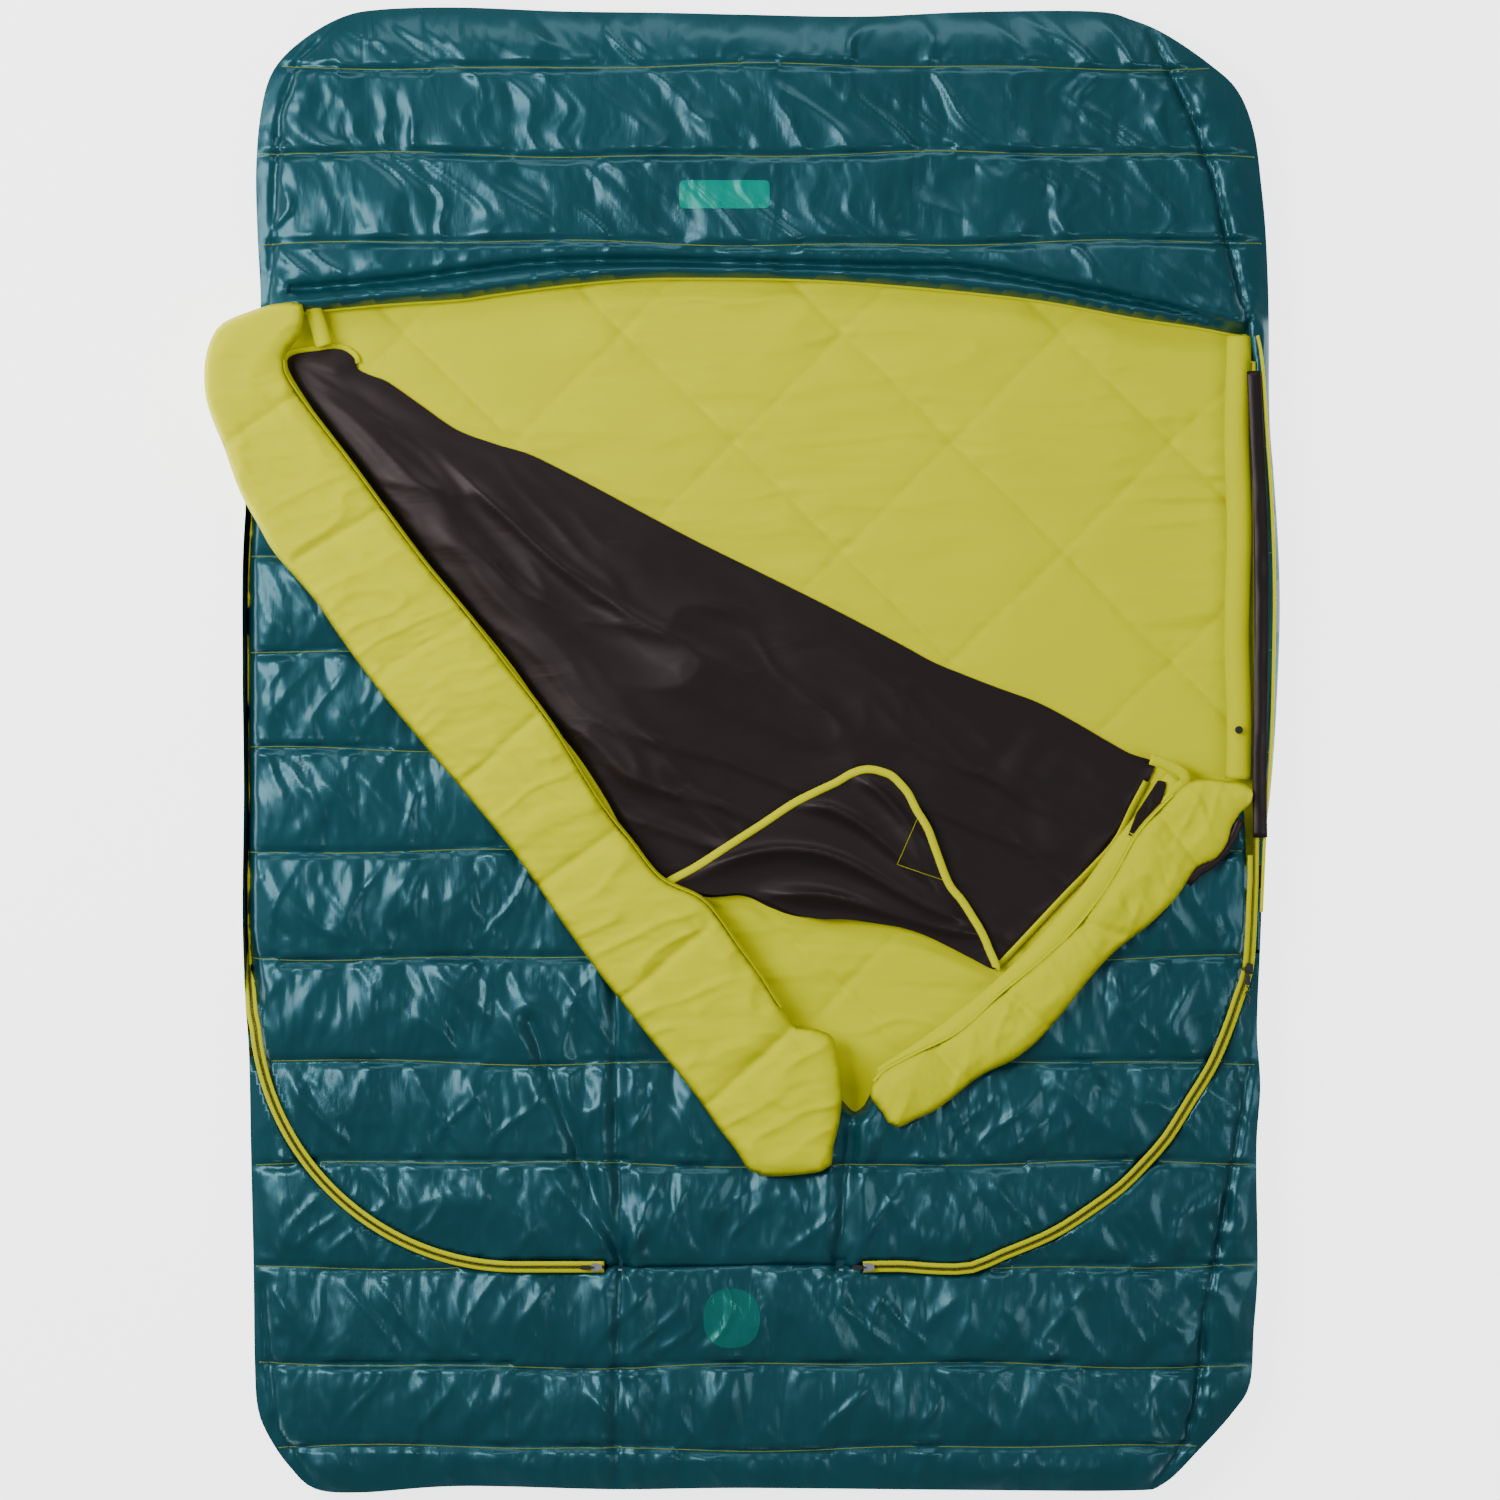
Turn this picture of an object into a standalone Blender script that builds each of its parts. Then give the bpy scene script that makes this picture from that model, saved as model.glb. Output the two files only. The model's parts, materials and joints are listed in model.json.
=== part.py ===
"""A two-person quilted sleeping bag laid flat: base, hood, foot box, zip-off top quilt with its edges turned
back, built-in sheet folded over, zips and sliders. Metres, +Y towards the head, +Z up, ground at Z = 0."""

import math

import bmesh
import bpy
from mathutils import Vector

# Plan of the bag
BODY_LENGTH = 2.294  # head to foot over the walls
BODY_WIDTH = 1.592  # side to side over the walls
BODY_SHIFT_X = 0.030  # the walls' middle, right of the frame's middle
HEAD_CORNER_RADIUS = 0.150
FOOT_CORNER_RADIUS = 0.095
WALL_THICKNESS = 0.008
WALL_HEIGHT = 0.0780
SIDE_WALL_GAP = 0.0004  # between one wall's end and the next

# Layers
CLEARANCE = 0.0003  # between pieces that touch
FABRIC = 0.0015
BASE_LOFT = 0.0300
QUILT_LOFT = 0.0300
HOOD_LOFT = 0.0350
BAND_LOFT = 0.0200
SLEEPING_GAP = 0.0144  # from the base liner up to the quilt liner
HOOD_GAP = 0.0264  # from the base liner up to the hood liner
BAND_REST_GAP = 0.0026  # under a turned-back edge, over the zip coils

# Quilting
SEAM_DEPTH = 0.0040
SEAM_HALF_WIDTH = 0.0200
BODY_SEAM_PITCH = 0.1575
HOOD_SEAM_PITCH = 0.1365
BAND_SEAM_PITCH = 0.2000
FIRST_BODY_SEAM = 0.0700  # up from the foot end
FIRST_HOOD_SEAM = 0.0910  # down from the head end

# Zips
ZIP_HALF_WIDTH = 0.0095
ZIP_SPLIT = 0.0005  # from the zip's middle line to each tape
ZIP_FOOT = 0.3490  # the zips' cross run, up from the foot end
LEFT_ZIP_INSET = 0.0180  # from the wall's outer face to the zip's middle line
RIGHT_ZIP_INSET = 0.0420
LEFT_ZIP_RADIUS = 0.4000
RIGHT_ZIP_RADIUS = 0.5300
LEFT_ZIP_END_X = -0.1870
RIGHT_ZIP_END_X = 0.1460
ZIP_TOP = 0.5070  # the zips' upper ends, down from the head end
TAPE = 0.0012
COIL_WIDTH = 0.0020
COIL_HEIGHT = 0.0020
STOP_LENGTH = 0.0060
ARC_STEPS = 14

# Sliders and pulls
SLIDER_LENGTH = 0.0160
SLIDER_WIDTH = 0.0120
SLIDER_NOSE = 0.0080  # width of its narrow end
SLIDER_HEIGHT = 0.0066
LEFT_SLIDER_X = -0.2270
RIGHT_SLIDER_X = 0.1930
SIDE_SLIDER_ANGLE = -7.5  # degrees round the right zip's arc from +X
SLIDER_NOTCH = 0.0040  # each end of a slider, where the quilt's tape stops short
EAR_THICKNESS = 0.0012
EAR_LENGTH = 0.0036
EAR_HEIGHT = 0.0030
PULL_BARREL_RADIUS = 0.0011
PULL_BARREL_WIDTH = 0.0026
PULL_LENGTH = 0.0200
PULL_WIDTH = 0.0070
PULL_THICKNESS = 0.0012
PULL_LIFT = 0.0017  # barrel's axis above the slider's top
CORD_LENGTH = 0.0220
CORD_RADIUS = 0.0011
KNOT_RADIUS = 0.0026

# Top quilt's opening and its turned-back edges
V_TOP_LEFT = (-0.7200, 0.6000)
V_TIP = (0.1700, -0.5540)
V_TOP_RIGHT = (0.6820, -0.0510)
FOLD_GAP = 0.0060  # from a fold line to the turned-back edge
LEFT_BAND_WIDTH = 0.1790
LEFT_BAND_END = 1.4480  # along the fold line, from the opening's top left
LEFT_BAND_HEAD = 0.0950  # past the opening's top left
RIGHT_BAND_WIDTH = 0.1160
RIGHT_BAND_END = 0.6900
RIGHT_BAND_HEAD = 0.0660
HINGE_LIFT = 0.0034  # the foot hinge line above the quilt
HINGE_SETBACK = 0.0125  # and towards the foot from the zips' cross run, clear of the sliders

# Hood
MOUTH_SIDE = 0.4800  # the hood's edge at its sides, down from the head end
MOUTH_RISE = 0.0560  # how much higher the edge is in the middle
MOUTH_SKEW = 0.0280  # how much lower it is on the right
HEM_RADIUS = 0.0135
HEM_END_INSET = 0.0500

# Linings along the opening
DRAFT_WIDTH = 0.0580
DRAFT_HEIGHT = 0.0240
DRAFT_FOOT_Y = -0.0380
LEFT_DRAFT_LENGTH = 0.0460
LEFT_DRAFT_WIDTH = 0.0900
FACING_LENGTH = 0.7800
PIPING_RADIUS = 0.0028
PIPING_LENGTH = 0.9900
SNAP_RADIUS = 0.0062
SNAP_HEIGHT = 0.0026
SNAP_Y = 0.0310

# Sheet
SHEET = 0.0015
BINDING_WIDTH = 0.0100
BINDING = 0.0024
SHEET_EDGE_GAP = 0.0070  # from the left fold line to the sheet
SHEET_LEFT_START = 0.0160
SHEET_LEFT_END = 1.0010
SHEET_FOLD_END = (0.6300, -0.0190)
SHEET_RIGHT_TOP = (0.6000, -0.0900)
SHEET_TIP = (0.3840, -0.3320)
SHEET_LOWER_DEPTH = 0.5500  # how far it reaches under the quilt
CORNER_APEX = (0.2180, -0.0300)
CORNER_SHOULDER = (0.1600, -0.0300)
CORNER_PATCH_SIDE = 0.0850
CORNER_FOLD_GAP = 0.0040
LOOP_SIDE = 0.0400

# Patches
HOOD_PATCH_SIZE = (0.1390, 0.0430)
HOOD_PATCH_CENTRE = (-0.0300, 0.2880)  # x, and down from the head end
FOOT_PATCH_SIZE = (0.0820, 0.0860)
FOOT_PATCH_CENTRE = (-0.0190, 0.2690)  # x, and up from the foot end
PATCH = 0.0010
PATCH_CORNER = 0.0070

# Colours: base colour, roughness, metallic
MATERIALS = {
    "shell_fabric": ((0.015, 0.090, 0.105), 0.28, 0.0),
    "lining_fabric": ((0.790, 0.760, 0.004), 0.60, 0.0),
    "batting": ((0.850, 0.850, 0.820), 0.95, 0.0),
    "sheet_satin": ((0.026, 0.018, 0.020), 0.38, 0.0),
    "zip_tape": ((0.640, 0.660, 0.010), 0.55, 0.0),
    "zip_coil": ((0.300, 0.310, 0.020), 0.40, 0.0),
    "slider_metal": ((0.180, 0.180, 0.190), 0.35, 1.0),
    "cord_black": ((0.015, 0.015, 0.016), 0.60, 0.0),
    "patch_print": ((0.010, 0.330, 0.290), 0.45, 0.0),
}

LEFT_X = BODY_SHIFT_X - BODY_WIDTH / 2
RIGHT_X = BODY_SHIFT_X + BODY_WIDTH / 2
HEAD_Y = BODY_LENGTH / 2
FOOT_Y = -BODY_LENGTH / 2

BASE_FILL_Z = FABRIC + CLEARANCE
BASE_LINER_Z = BASE_FILL_Z + BASE_LOFT + CLEARANCE
BASE_TOP_Z = BASE_LINER_Z + FABRIC
QUILT_LINER_Z = BASE_TOP_Z + SLEEPING_GAP
QUILT_FILL_Z = QUILT_LINER_Z + FABRIC + CLEARANCE
QUILT_SHELL_Z = QUILT_FILL_Z + QUILT_LOFT + CLEARANCE
QUILT_TOP_Z = QUILT_SHELL_Z + FABRIC
HOOD_LINER_Z = BASE_TOP_Z + HOOD_GAP
HOOD_FILL_Z = HOOD_LINER_Z + FABRIC + CLEARANCE
HOOD_SHELL_Z = HOOD_FILL_Z + HOOD_LOFT + CLEARANCE
HOOD_TOP_Z = HOOD_SHELL_Z + FABRIC
BAND_SHELL_Z = QUILT_TOP_Z + BAND_REST_GAP
BAND_FILL_Z = BAND_SHELL_Z + FABRIC + CLEARANCE
BAND_LINER_Z = BAND_FILL_Z + BAND_LOFT + CLEARANCE
BAND_TOP_Z = BAND_LINER_Z + FABRIC
WALL_TOP_Z = BASE_FILL_Z + WALL_HEIGHT
TAPE_Z = QUILT_SHELL_Z
COIL_Z = TAPE_Z + TAPE + CLEARANCE
SLIDER_Z = COIL_Z + COIL_HEIGHT + CLEARANCE
SHEET_LOWER_Z = BASE_TOP_Z + CLEARANCE
SHEET_UPPER_Z = SHEET_LOWER_Z + SHEET + CLEARANCE
SHEET_CORNER_Z = SHEET_UPPER_Z + BINDING + CLEARANCE

ZIP_Y = FOOT_Y + ZIP_FOOT
ZIP_TOP_Y = HEAD_Y - ZIP_TOP
LEFT_ZIP_X = LEFT_X + LEFT_ZIP_INSET
RIGHT_ZIP_X = RIGHT_X - RIGHT_ZIP_INSET
LEFT_ARC = (LEFT_ZIP_X + LEFT_ZIP_RADIUS, ZIP_Y + LEFT_ZIP_RADIUS)
RIGHT_ARC = (RIGHT_ZIP_X - RIGHT_ZIP_RADIUS, ZIP_Y + RIGHT_ZIP_RADIUS)
HINGE_Z = QUILT_TOP_Z + HINGE_LIFT
FOLD_Z = QUILT_TOP_Z + BAND_REST_GAP / 2


# ---- scene, materials and bodies

for leftover in list(bpy.data.objects):
    bpy.data.objects.remove(leftover, do_unlink=True)

materials = {}
for slot, (colour, roughness, metallic) in MATERIALS.items():
    made = bpy.data.materials.new(slot)
    made.use_nodes = True
    shader = made.node_tree.nodes["Principled BSDF"]
    shader.inputs["Base Color"].default_value = (*colour, 1.0)
    shader.inputs["Roughness"].default_value = roughness
    shader.inputs["Metallic"].default_value = metallic
    materials[slot] = made

bodies = {}


def body(name, origin, parent=None):
    """An empty on a body's joint axis, which its pieces hang from."""
    empty = bpy.data.objects.new("axis_" + name, None)
    bpy.context.scene.collection.objects.link(empty)
    start = Vector(origin)
    if parent:
        empty.parent = bodies[parent][0]
        empty.location = start - bodies[parent][1]
    else:
        empty.location = start
    bodies[name] = (empty, start)


def piece(name, mesh_of, slot, on, smooth=False):
    """One named piece from a bmesh in frame coordinates, hung from its body."""
    empty, start = bodies[on]
    bmesh.ops.recalc_face_normals(mesh_of, faces=mesh_of.faces)
    bmesh.ops.translate(mesh_of, verts=mesh_of.verts, vec=-start)
    mesh = bpy.data.meshes.new(name)
    mesh_of.to_mesh(mesh)
    mesh_of.free()
    mesh.materials.append(materials[slot])
    if smooth:
        mesh.shade_smooth()
    made = bpy.data.objects.new(name, mesh)
    made.parent = empty
    bpy.context.scene.collection.objects.link(made)
    return made


# ---- plan geometry

def arc(centre, radius, start, end, steps):
    """Points round an arc, with the angles in degrees."""
    turn = [math.radians(start + (end - start) * n / steps) for n in range(steps + 1)]
    return [(centre[0] + radius * math.cos(a), centre[1] + radius * math.sin(a)) for a in turn]


def bag_outline(inset):
    """The bag's outline, anticlockwise from the left end of the foot's right corner."""
    left, right, head, foot = LEFT_X + inset, RIGHT_X - inset, HEAD_Y - inset, FOOT_Y + inset
    h, f = HEAD_CORNER_RADIUS - inset, FOOT_CORNER_RADIUS - inset
    return (
        arc((right - f, foot + f), f, -90, 0, 6)
        + arc((right - h, head - h), h, 0, 90, 8)
        + arc((left + h, head - h), h, 90, 180, 8)
        + arc((left + f, foot + f), f, 180, 270, 6)
    )


def offset(path, distance):
    """An open path moved to its left by distance, with mitred corners."""
    moved = []
    for n, point in enumerate(path):
        here = Vector(point)
        sides = []
        if n:
            sides.append((here - Vector(path[n - 1])).normalized())
        if n + 1 < len(path):
            sides.append((Vector(path[n + 1]) - here).normalized())
        normals = [Vector((-s.y, s.x)) for s in sides]
        middle = sum(normals, Vector((0, 0))).normalized()
        moved.append(tuple(here + middle * distance / middle.dot(normals[0])))
    return moved


def clipped(outline, point, normal):
    """The part of a closed outline on the normal's side of a straight cut, which crosses it twice at most."""
    kept = []
    for n, here in enumerate(outline):
        there = outline[(n + 1) % len(outline)]
        a = (here[0] - point[0]) * normal[0] + (here[1] - point[1]) * normal[1]
        b = (there[0] - point[0]) * normal[0] + (there[1] - point[1]) * normal[1]
        if a >= 0:
            kept.append(here)
        if (a > 0) != (b > 0) and abs(a - b) > 1e-9 and abs(a) > 1e-9 and abs(b) > 1e-9:
            t = a / (a - b)
            kept.append((here[0] + (there[0] - here[0]) * t, here[1] + (there[1] - here[1]) * t))
    return kept


def strip(path, near, far):
    """The closed outline between an open path's two offsets."""
    return offset(path, near) + offset(path, far)[::-1]


def seams(first, pitch, low, high):
    """Evenly spaced quilting lines that lie wholly between low and high."""
    found, at = [], first
    step = 1 if pitch > 0 else -1
    while (high - at) * step > 0 if step > 0 else at > low:
        if low + SEAM_HALF_WIDTH < at < high - SEAM_HALF_WIDTH:
            found.append(at)
        at += pitch
    return found


# ---- solids

def prism(outline, low, high):
    """A flat plate between two heights."""
    shape = bmesh.new()
    bottom = [shape.verts.new((x, y, low)) for x, y in outline]
    top = [shape.verts.new((x, y, high)) for x, y in outline]
    caps = [shape.faces.new(bottom[::-1]), shape.faces.new(top)]
    for n in range(len(outline)):
        m = (n + 1) % len(outline)
        shape.faces.new((bottom[n], bottom[m], top[m], top[n]))
    shape.normal_update()
    bmesh.ops.triangulate(shape, faces=caps)
    return shape


def quilted(outline, low, high, lines, along, dips_both):
    """A plate dipped along its quilting lines: its top only, or both its faces for a skin over batting."""
    shape = prism(outline, low, high)
    direction = Vector((along[0], along[1], 0))
    middle = (low + high) / 2
    for line in lines:
        for step in (-SEAM_HALF_WIDTH, 0, SEAM_HALF_WIDTH):
            bmesh.ops.bisect_plane(
                shape,
                geom=shape.verts[:] + shape.edges[:] + shape.faces[:],
                dist=1e-6,
                plane_co=direction * (line + step),
                plane_no=direction,
            )
        for vert in shape.verts:
            away = abs(vert.co.dot(direction) - line) / SEAM_HALF_WIDTH
            if away < 1 and (dips_both or vert.co.z > middle):
                vert.co.z -= SEAM_DEPTH * (1 - away)
    bmesh.ops.triangulate(shape, faces=shape.faces)
    return shape


def tube(path, radius_across, radius_up, height, sides=10):
    """A closed round or oval tube along a plan path at one height."""
    shape = bmesh.new()
    points = [Vector(p) for p in path]
    rings = []
    for n, here in enumerate(points):
        before, after = points[max(n - 1, 0)], points[min(n + 1, len(points) - 1)]
        run = (after - before).normalized()
        across = Vector((-run.y, run.x))
        ring = []
        for k in range(sides):
            a = 2 * math.pi * (k + 0.5) / sides
            at = here + across * radius_across * math.cos(a)
            ring.append(shape.verts.new((at.x, at.y, height + radius_up * math.sin(a))))
        rings.append(ring)
    for one, two in zip(rings, rings[1:]):
        for k in range(sides):
            m = (k + 1) % sides
            shape.faces.new((one[k], one[m], two[m], two[k]))
    caps = [shape.faces.new(rings[0][::-1]), shape.faces.new(rings[-1])]
    shape.normal_update()
    bmesh.ops.triangulate(shape, faces=caps)
    return shape


def rounded_rectangle(centre, size, radius):
    """A closed rectangle with round corners."""
    w, h = size[0] / 2 - radius, size[1] / 2 - radius
    out = []
    for sx, sy, start in ((1, -1, -90), (1, 1, 0), (-1, 1, 90), (-1, -1, 180)):
        out += arc((centre[0] + sx * w, centre[1] + sy * h), radius, start, start + 90, 4)
    return out


def joined(first, second):
    """Two overlapping closed solids made one."""
    made = []
    for n, shape in enumerate((first, second)):
        bmesh.ops.recalc_face_normals(shape, faces=shape.faces)
        mesh = bpy.data.meshes.new(f"join_{n}")
        shape.to_mesh(mesh)
        shape.free()
        made.append(bpy.data.objects.new(f"join_{n}", mesh))
        bpy.context.scene.collection.objects.link(made[-1])
    union = made[0].modifiers.new("union", "BOOLEAN")
    union.operation, union.solver, union.object = "UNION", "EXACT", made[1]
    bpy.context.view_layer.update()
    whole = bmesh.new()
    whole.from_object(made[0], bpy.context.evaluated_depsgraph_get())
    for scratch in made:
        bpy.data.objects.remove(scratch, do_unlink=True)
    bmesh.ops.triangulate(whole, faces=whole.faces)
    return whole


# ---- lines that several pieces share

def unit(a, b):
    """The direction from a to b, and the direction to its left."""
    run = (Vector(b) - Vector(a)).normalized()
    return run, Vector((-run.y, run.x))


LEFT_RUN, LEFT_IN = unit(V_TOP_LEFT, V_TIP)
RIGHT_RUN, RIGHT_OUT = unit(V_TOP_RIGHT, V_TIP)


def left_fold(along, across):
    """A point by its place along the left fold line, and across it towards the bag's left side."""
    return tuple(Vector(V_TOP_LEFT) + LEFT_RUN * along - LEFT_IN * across)


def right_fold(along, across):
    """A point by its place along the right fold line, and across it towards the bag's right side."""
    return tuple(Vector(V_TOP_RIGHT) + RIGHT_RUN * along + RIGHT_OUT * across)


left_zip = (
    [(LEFT_ZIP_END_X, ZIP_Y)]
    + arc(LEFT_ARC, LEFT_ZIP_RADIUS, 270, 180, ARC_STEPS)
    + [(LEFT_ZIP_X, ZIP_TOP_Y)]
)
right_zip = (
    [(RIGHT_ZIP_END_X, ZIP_Y)]
    + arc(RIGHT_ARC, RIGHT_ZIP_RADIUS, -90, 0, ARC_STEPS)
    + [(RIGHT_ZIP_X, ZIP_TOP_Y)]
)


def cut_path(path, start, end):
    """The stretch of a path between two lengths along it."""
    out, gone = [], 0.0
    for a, b in zip(path, path[1:]):
        step = math.dist(a, b)
        for at in (start, end):
            if gone <= at < gone + step and (at == end or not out):
                t = (at - gone) / step
                out.append((a[0] + (b[0] - a[0]) * t, a[1] + (b[1] - a[1]) * t))
        if start < gone + step < end:
            out.append(b)
        gone += step
    return out


def run_length(path):
    """A path's whole length."""
    return sum(math.dist(a, b) for a, b in zip(path, path[1:]))


def mouth(x):
    """The hood edge's place down the bag at x."""
    half = BODY_WIDTH / 2
    share = (x - BODY_SHIFT_X) / half
    return HEAD_Y - MOUTH_SIDE + MOUTH_RISE * (1 - share * share) - MOUTH_SKEW * share


body_seams = seams(FOOT_Y + FIRST_BODY_SEAM, BODY_SEAM_PITCH, FOOT_Y, HEAD_Y)
hood_seams = [HEAD_Y - FIRST_HOOD_SEAM - HOOD_SEAM_PITCH * n for n in range(3)]

# ---- bodies on their joint axes

side_turn = math.radians(SIDE_SLIDER_ANGLE)
side_run, side_out = Vector((-math.sin(side_turn), math.cos(side_turn))), Vector((math.cos(side_turn), math.sin(side_turn)))
side_at = Vector(RIGHT_ARC) + side_out * RIGHT_ZIP_RADIUS
pull_z = SLIDER_Z + SLIDER_HEIGHT + PULL_LIFT
ear_at = SLIDER_LENGTH / 2 - EAR_LENGTH / 2 - 0.0004

sheet_corner_left = left_fold(SHEET_LEFT_END, -SHEET_EDGE_GAP)
sheet_top_left = left_fold(SHEET_LEFT_START, -SHEET_EDGE_GAP)

body("base", (0, 0, 0))
body("top_quilt", (0, ZIP_Y - HINGE_SETBACK, HINGE_Z))
body("left_turnback", (*V_TOP_LEFT, FOLD_Z), "top_quilt")
body("right_turnback", (*V_TOP_RIGHT, FOLD_Z), "top_quilt")
body("sheet", (*sheet_top_left, SHEET_UPPER_Z + BINDING), "base")
body("sheet_corner", (*SHEET_TIP, SHEET_CORNER_Z), "sheet")
body("left_slider", (LEFT_SLIDER_X, ZIP_Y, SLIDER_Z))
body("right_slider", (RIGHT_SLIDER_X, ZIP_Y, SLIDER_Z))
body("side_slider", (*RIGHT_ARC, SLIDER_Z))
body("left_pull", (LEFT_SLIDER_X - ear_at, ZIP_Y, pull_z), "left_slider")
body("right_pull", (RIGHT_SLIDER_X - ear_at, ZIP_Y, pull_z), "right_slider")
body("side_pull", (*(side_at - side_run * ear_at), pull_z), "side_slider")

# ---- base: the half that lies on the ground, and its walls

inner = bag_outline(WALL_THICKNESS + CLEARANCE)
piece("base_shell", prism(bag_outline(0), 0, FABRIC), "shell_fabric", "base")
piece("base_insulation", prism(inner, BASE_FILL_Z, BASE_FILL_Z + BASE_LOFT), "batting", "base")
piece("base_liner", prism(inner, BASE_LINER_Z, BASE_TOP_Z), "lining_fabric", "base")

side_low = FOOT_Y + FOOT_CORNER_RADIUS + WALL_THICKNESS
side_high = HEAD_Y - MOUTH_SIDE - MOUTH_SKEW
foot_ring = clipped(bag_outline(0), (0, side_low - SIDE_WALL_GAP), (0, -1))
foot_hole = clipped(bag_outline(WALL_THICKNESS), (0, side_low - SIDE_WALL_GAP), (0, -1))
head_ring = clipped(bag_outline(0), (0, side_high + SIDE_WALL_GAP), (0, 1))
head_hole = clipped(bag_outline(WALL_THICKNESS), (0, side_high + SIDE_WALL_GAP), (0, 1))


def opened(ring, is_end):
    """A clipped outline as an open path that starts and ends on its cut."""
    for n in range(len(ring)):
        if is_end(ring[n]) and is_end(ring[(n + 1) % len(ring)]):
            return ring[n + 1 :] + ring[: n + 1]
    return ring


def wall(ring, hole, cut_y):
    """The U-shaped wall between an outer and an inner clipped outline."""
    def on_cut(point):
        return abs(point[1] - cut_y) < 1e-6

    return opened(ring, on_cut) + opened(hole, on_cut)[::-1]


piece(
    "foot_gusset",
    prism(wall(foot_ring, foot_hole, side_low - SIDE_WALL_GAP), BASE_FILL_Z, WALL_TOP_Z),
    "shell_fabric", "base",
)
piece(
    "head_gusset",
    prism(wall(head_ring, head_hole, side_high + SIDE_WALL_GAP), BASE_FILL_Z, WALL_TOP_Z),
    "shell_fabric", "base",
)
for name, x in (("left_gusset", LEFT_X), ("right_gusset", RIGHT_X - WALL_THICKNESS)):
    corners = [(x, side_low), (x + WALL_THICKNESS, side_low), (x + WALL_THICKNESS, side_high), (x, side_high)]
    piece(name, prism(corners, BASE_FILL_Z, WALL_TOP_Z), "shell_fabric", "base")

# ---- foot box: the top panel outside the zips, down to the foot

left_reach = LEFT_ARC[1]
right_reach = RIGHT_ARC[1]
foot_side = [p for p in inner if p[1] < side_low]
foot_edge = opened(foot_side, lambda p: p[1] > side_low - 0.03)
below_zip = offset(
    arc(LEFT_ARC, LEFT_ZIP_RADIUS, 180, 270, ARC_STEPS) + [(LEFT_ZIP_END_X, ZIP_Y)], -ZIP_HALF_WIDTH
) + [(LEFT_ZIP_END_X + 0.002, ZIP_Y - 0.0008), (RIGHT_ZIP_END_X - 0.002, ZIP_Y - 0.0008)] + offset(
    [(RIGHT_ZIP_END_X, ZIP_Y)] + arc(RIGHT_ARC, RIGHT_ZIP_RADIUS, -90, 0, ARC_STEPS), -ZIP_HALF_WIDTH
)
inner_left, inner_right = LEFT_X + WALL_THICKNESS + CLEARANCE, RIGHT_X - WALL_THICKNESS - CLEARANCE
foot_corners = arc(
    (inner_left + FOOT_CORNER_RADIUS - WALL_THICKNESS - CLEARANCE,
     FOOT_Y + FOOT_CORNER_RADIUS), FOOT_CORNER_RADIUS - WALL_THICKNESS - CLEARANCE, 180, 270, 6,
) + arc(
    (inner_right - FOOT_CORNER_RADIUS + WALL_THICKNESS + CLEARANCE,
     FOOT_Y + FOOT_CORNER_RADIUS), FOOT_CORNER_RADIUS - WALL_THICKNESS - CLEARANCE, -90, 0, 6,
)
left_cheek_top = arc(LEFT_ARC, LEFT_ZIP_RADIUS + ZIP_HALF_WIDTH, 180, 270, ARC_STEPS)
left_cheek_top = [p for p in left_cheek_top if p[0] > inner_left + 0.002]
foot_box = (
    foot_corners
    + [(inner_right, right_reach)]
    + below_zip[::-1][: ARC_STEPS + 2]
    + [(RIGHT_ZIP_END_X - 0.002, ZIP_Y - 0.0008), (LEFT_ZIP_END_X + 0.002, ZIP_Y - 0.0008)]
    + [(LEFT_ZIP_END_X, ZIP_Y - ZIP_HALF_WIDTH)]
    + left_cheek_top[::-1]
    + [(inner_left, left_cheek_top[0][1])]
)
foot_lines = [y for y in body_seams if y < max(left_reach, right_reach) - SEAM_HALF_WIDTH]
UP = (0, 1)
piece("footbox_liner", prism(foot_box, QUILT_LINER_Z, QUILT_LINER_Z + FABRIC), "lining_fabric", "base")
piece(
    "footbox_insulation",
    quilted(foot_box, QUILT_FILL_Z, QUILT_FILL_Z + QUILT_LOFT, foot_lines, UP, False), "batting", "base",
)
piece(
    "footbox_shell",
    quilted(foot_box, QUILT_SHELL_Z, QUILT_TOP_Z, foot_lines, UP, True), "shell_fabric", "base",
)
side_panel = [
    (RIGHT_ZIP_X + ZIP_HALF_WIDTH, right_reach + CLEARANCE),
    (inner_right, right_reach + CLEARANCE),
    (inner_right, side_high),
    (RIGHT_ZIP_X + ZIP_HALF_WIDTH, side_high),
]
piece("right_side_panel", prism(side_panel, QUILT_LINER_Z, QUILT_SHELL_Z - CLEARANCE), "shell_fabric", "base")

# ---- hood

HOOD_STEPS = 16
mouth_line = [
    (x, mouth(x))
    for x in (inner_left + (inner_right - inner_left) * n / HOOD_STEPS for n in range(HOOD_STEPS + 1))
]
head_corner = HEAD_CORNER_RADIUS - WALL_THICKNESS - CLEARANCE
hood = (
    mouth_line
    + arc((inner_right - head_corner, HEAD_Y - HEAD_CORNER_RADIUS), head_corner, 0, 90, 8)
    + arc((inner_left + head_corner, HEAD_Y - HEAD_CORNER_RADIUS), head_corner, 90, 180, 8)
)
piece("hood_liner", prism(hood, HOOD_LINER_Z, HOOD_LINER_Z + FABRIC), "lining_fabric", "base")
piece(
    "hood_insulation",
    quilted(hood, HOOD_FILL_Z, HOOD_FILL_Z + HOOD_LOFT, hood_seams, UP, False), "batting", "base",
)
piece("hood_shell", quilted(hood, HOOD_SHELL_Z, HOOD_TOP_Z, hood_seams, UP, True), "shell_fabric", "base")
hem_path = [
    (x, mouth(x) - HEM_RADIUS - CLEARANCE)
    for x in (
        LEFT_X + HEM_END_INSET + (BODY_WIDTH - 2 * HEM_END_INSET) * n / HOOD_STEPS for n in range(HOOD_STEPS + 1)
    )
]
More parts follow.
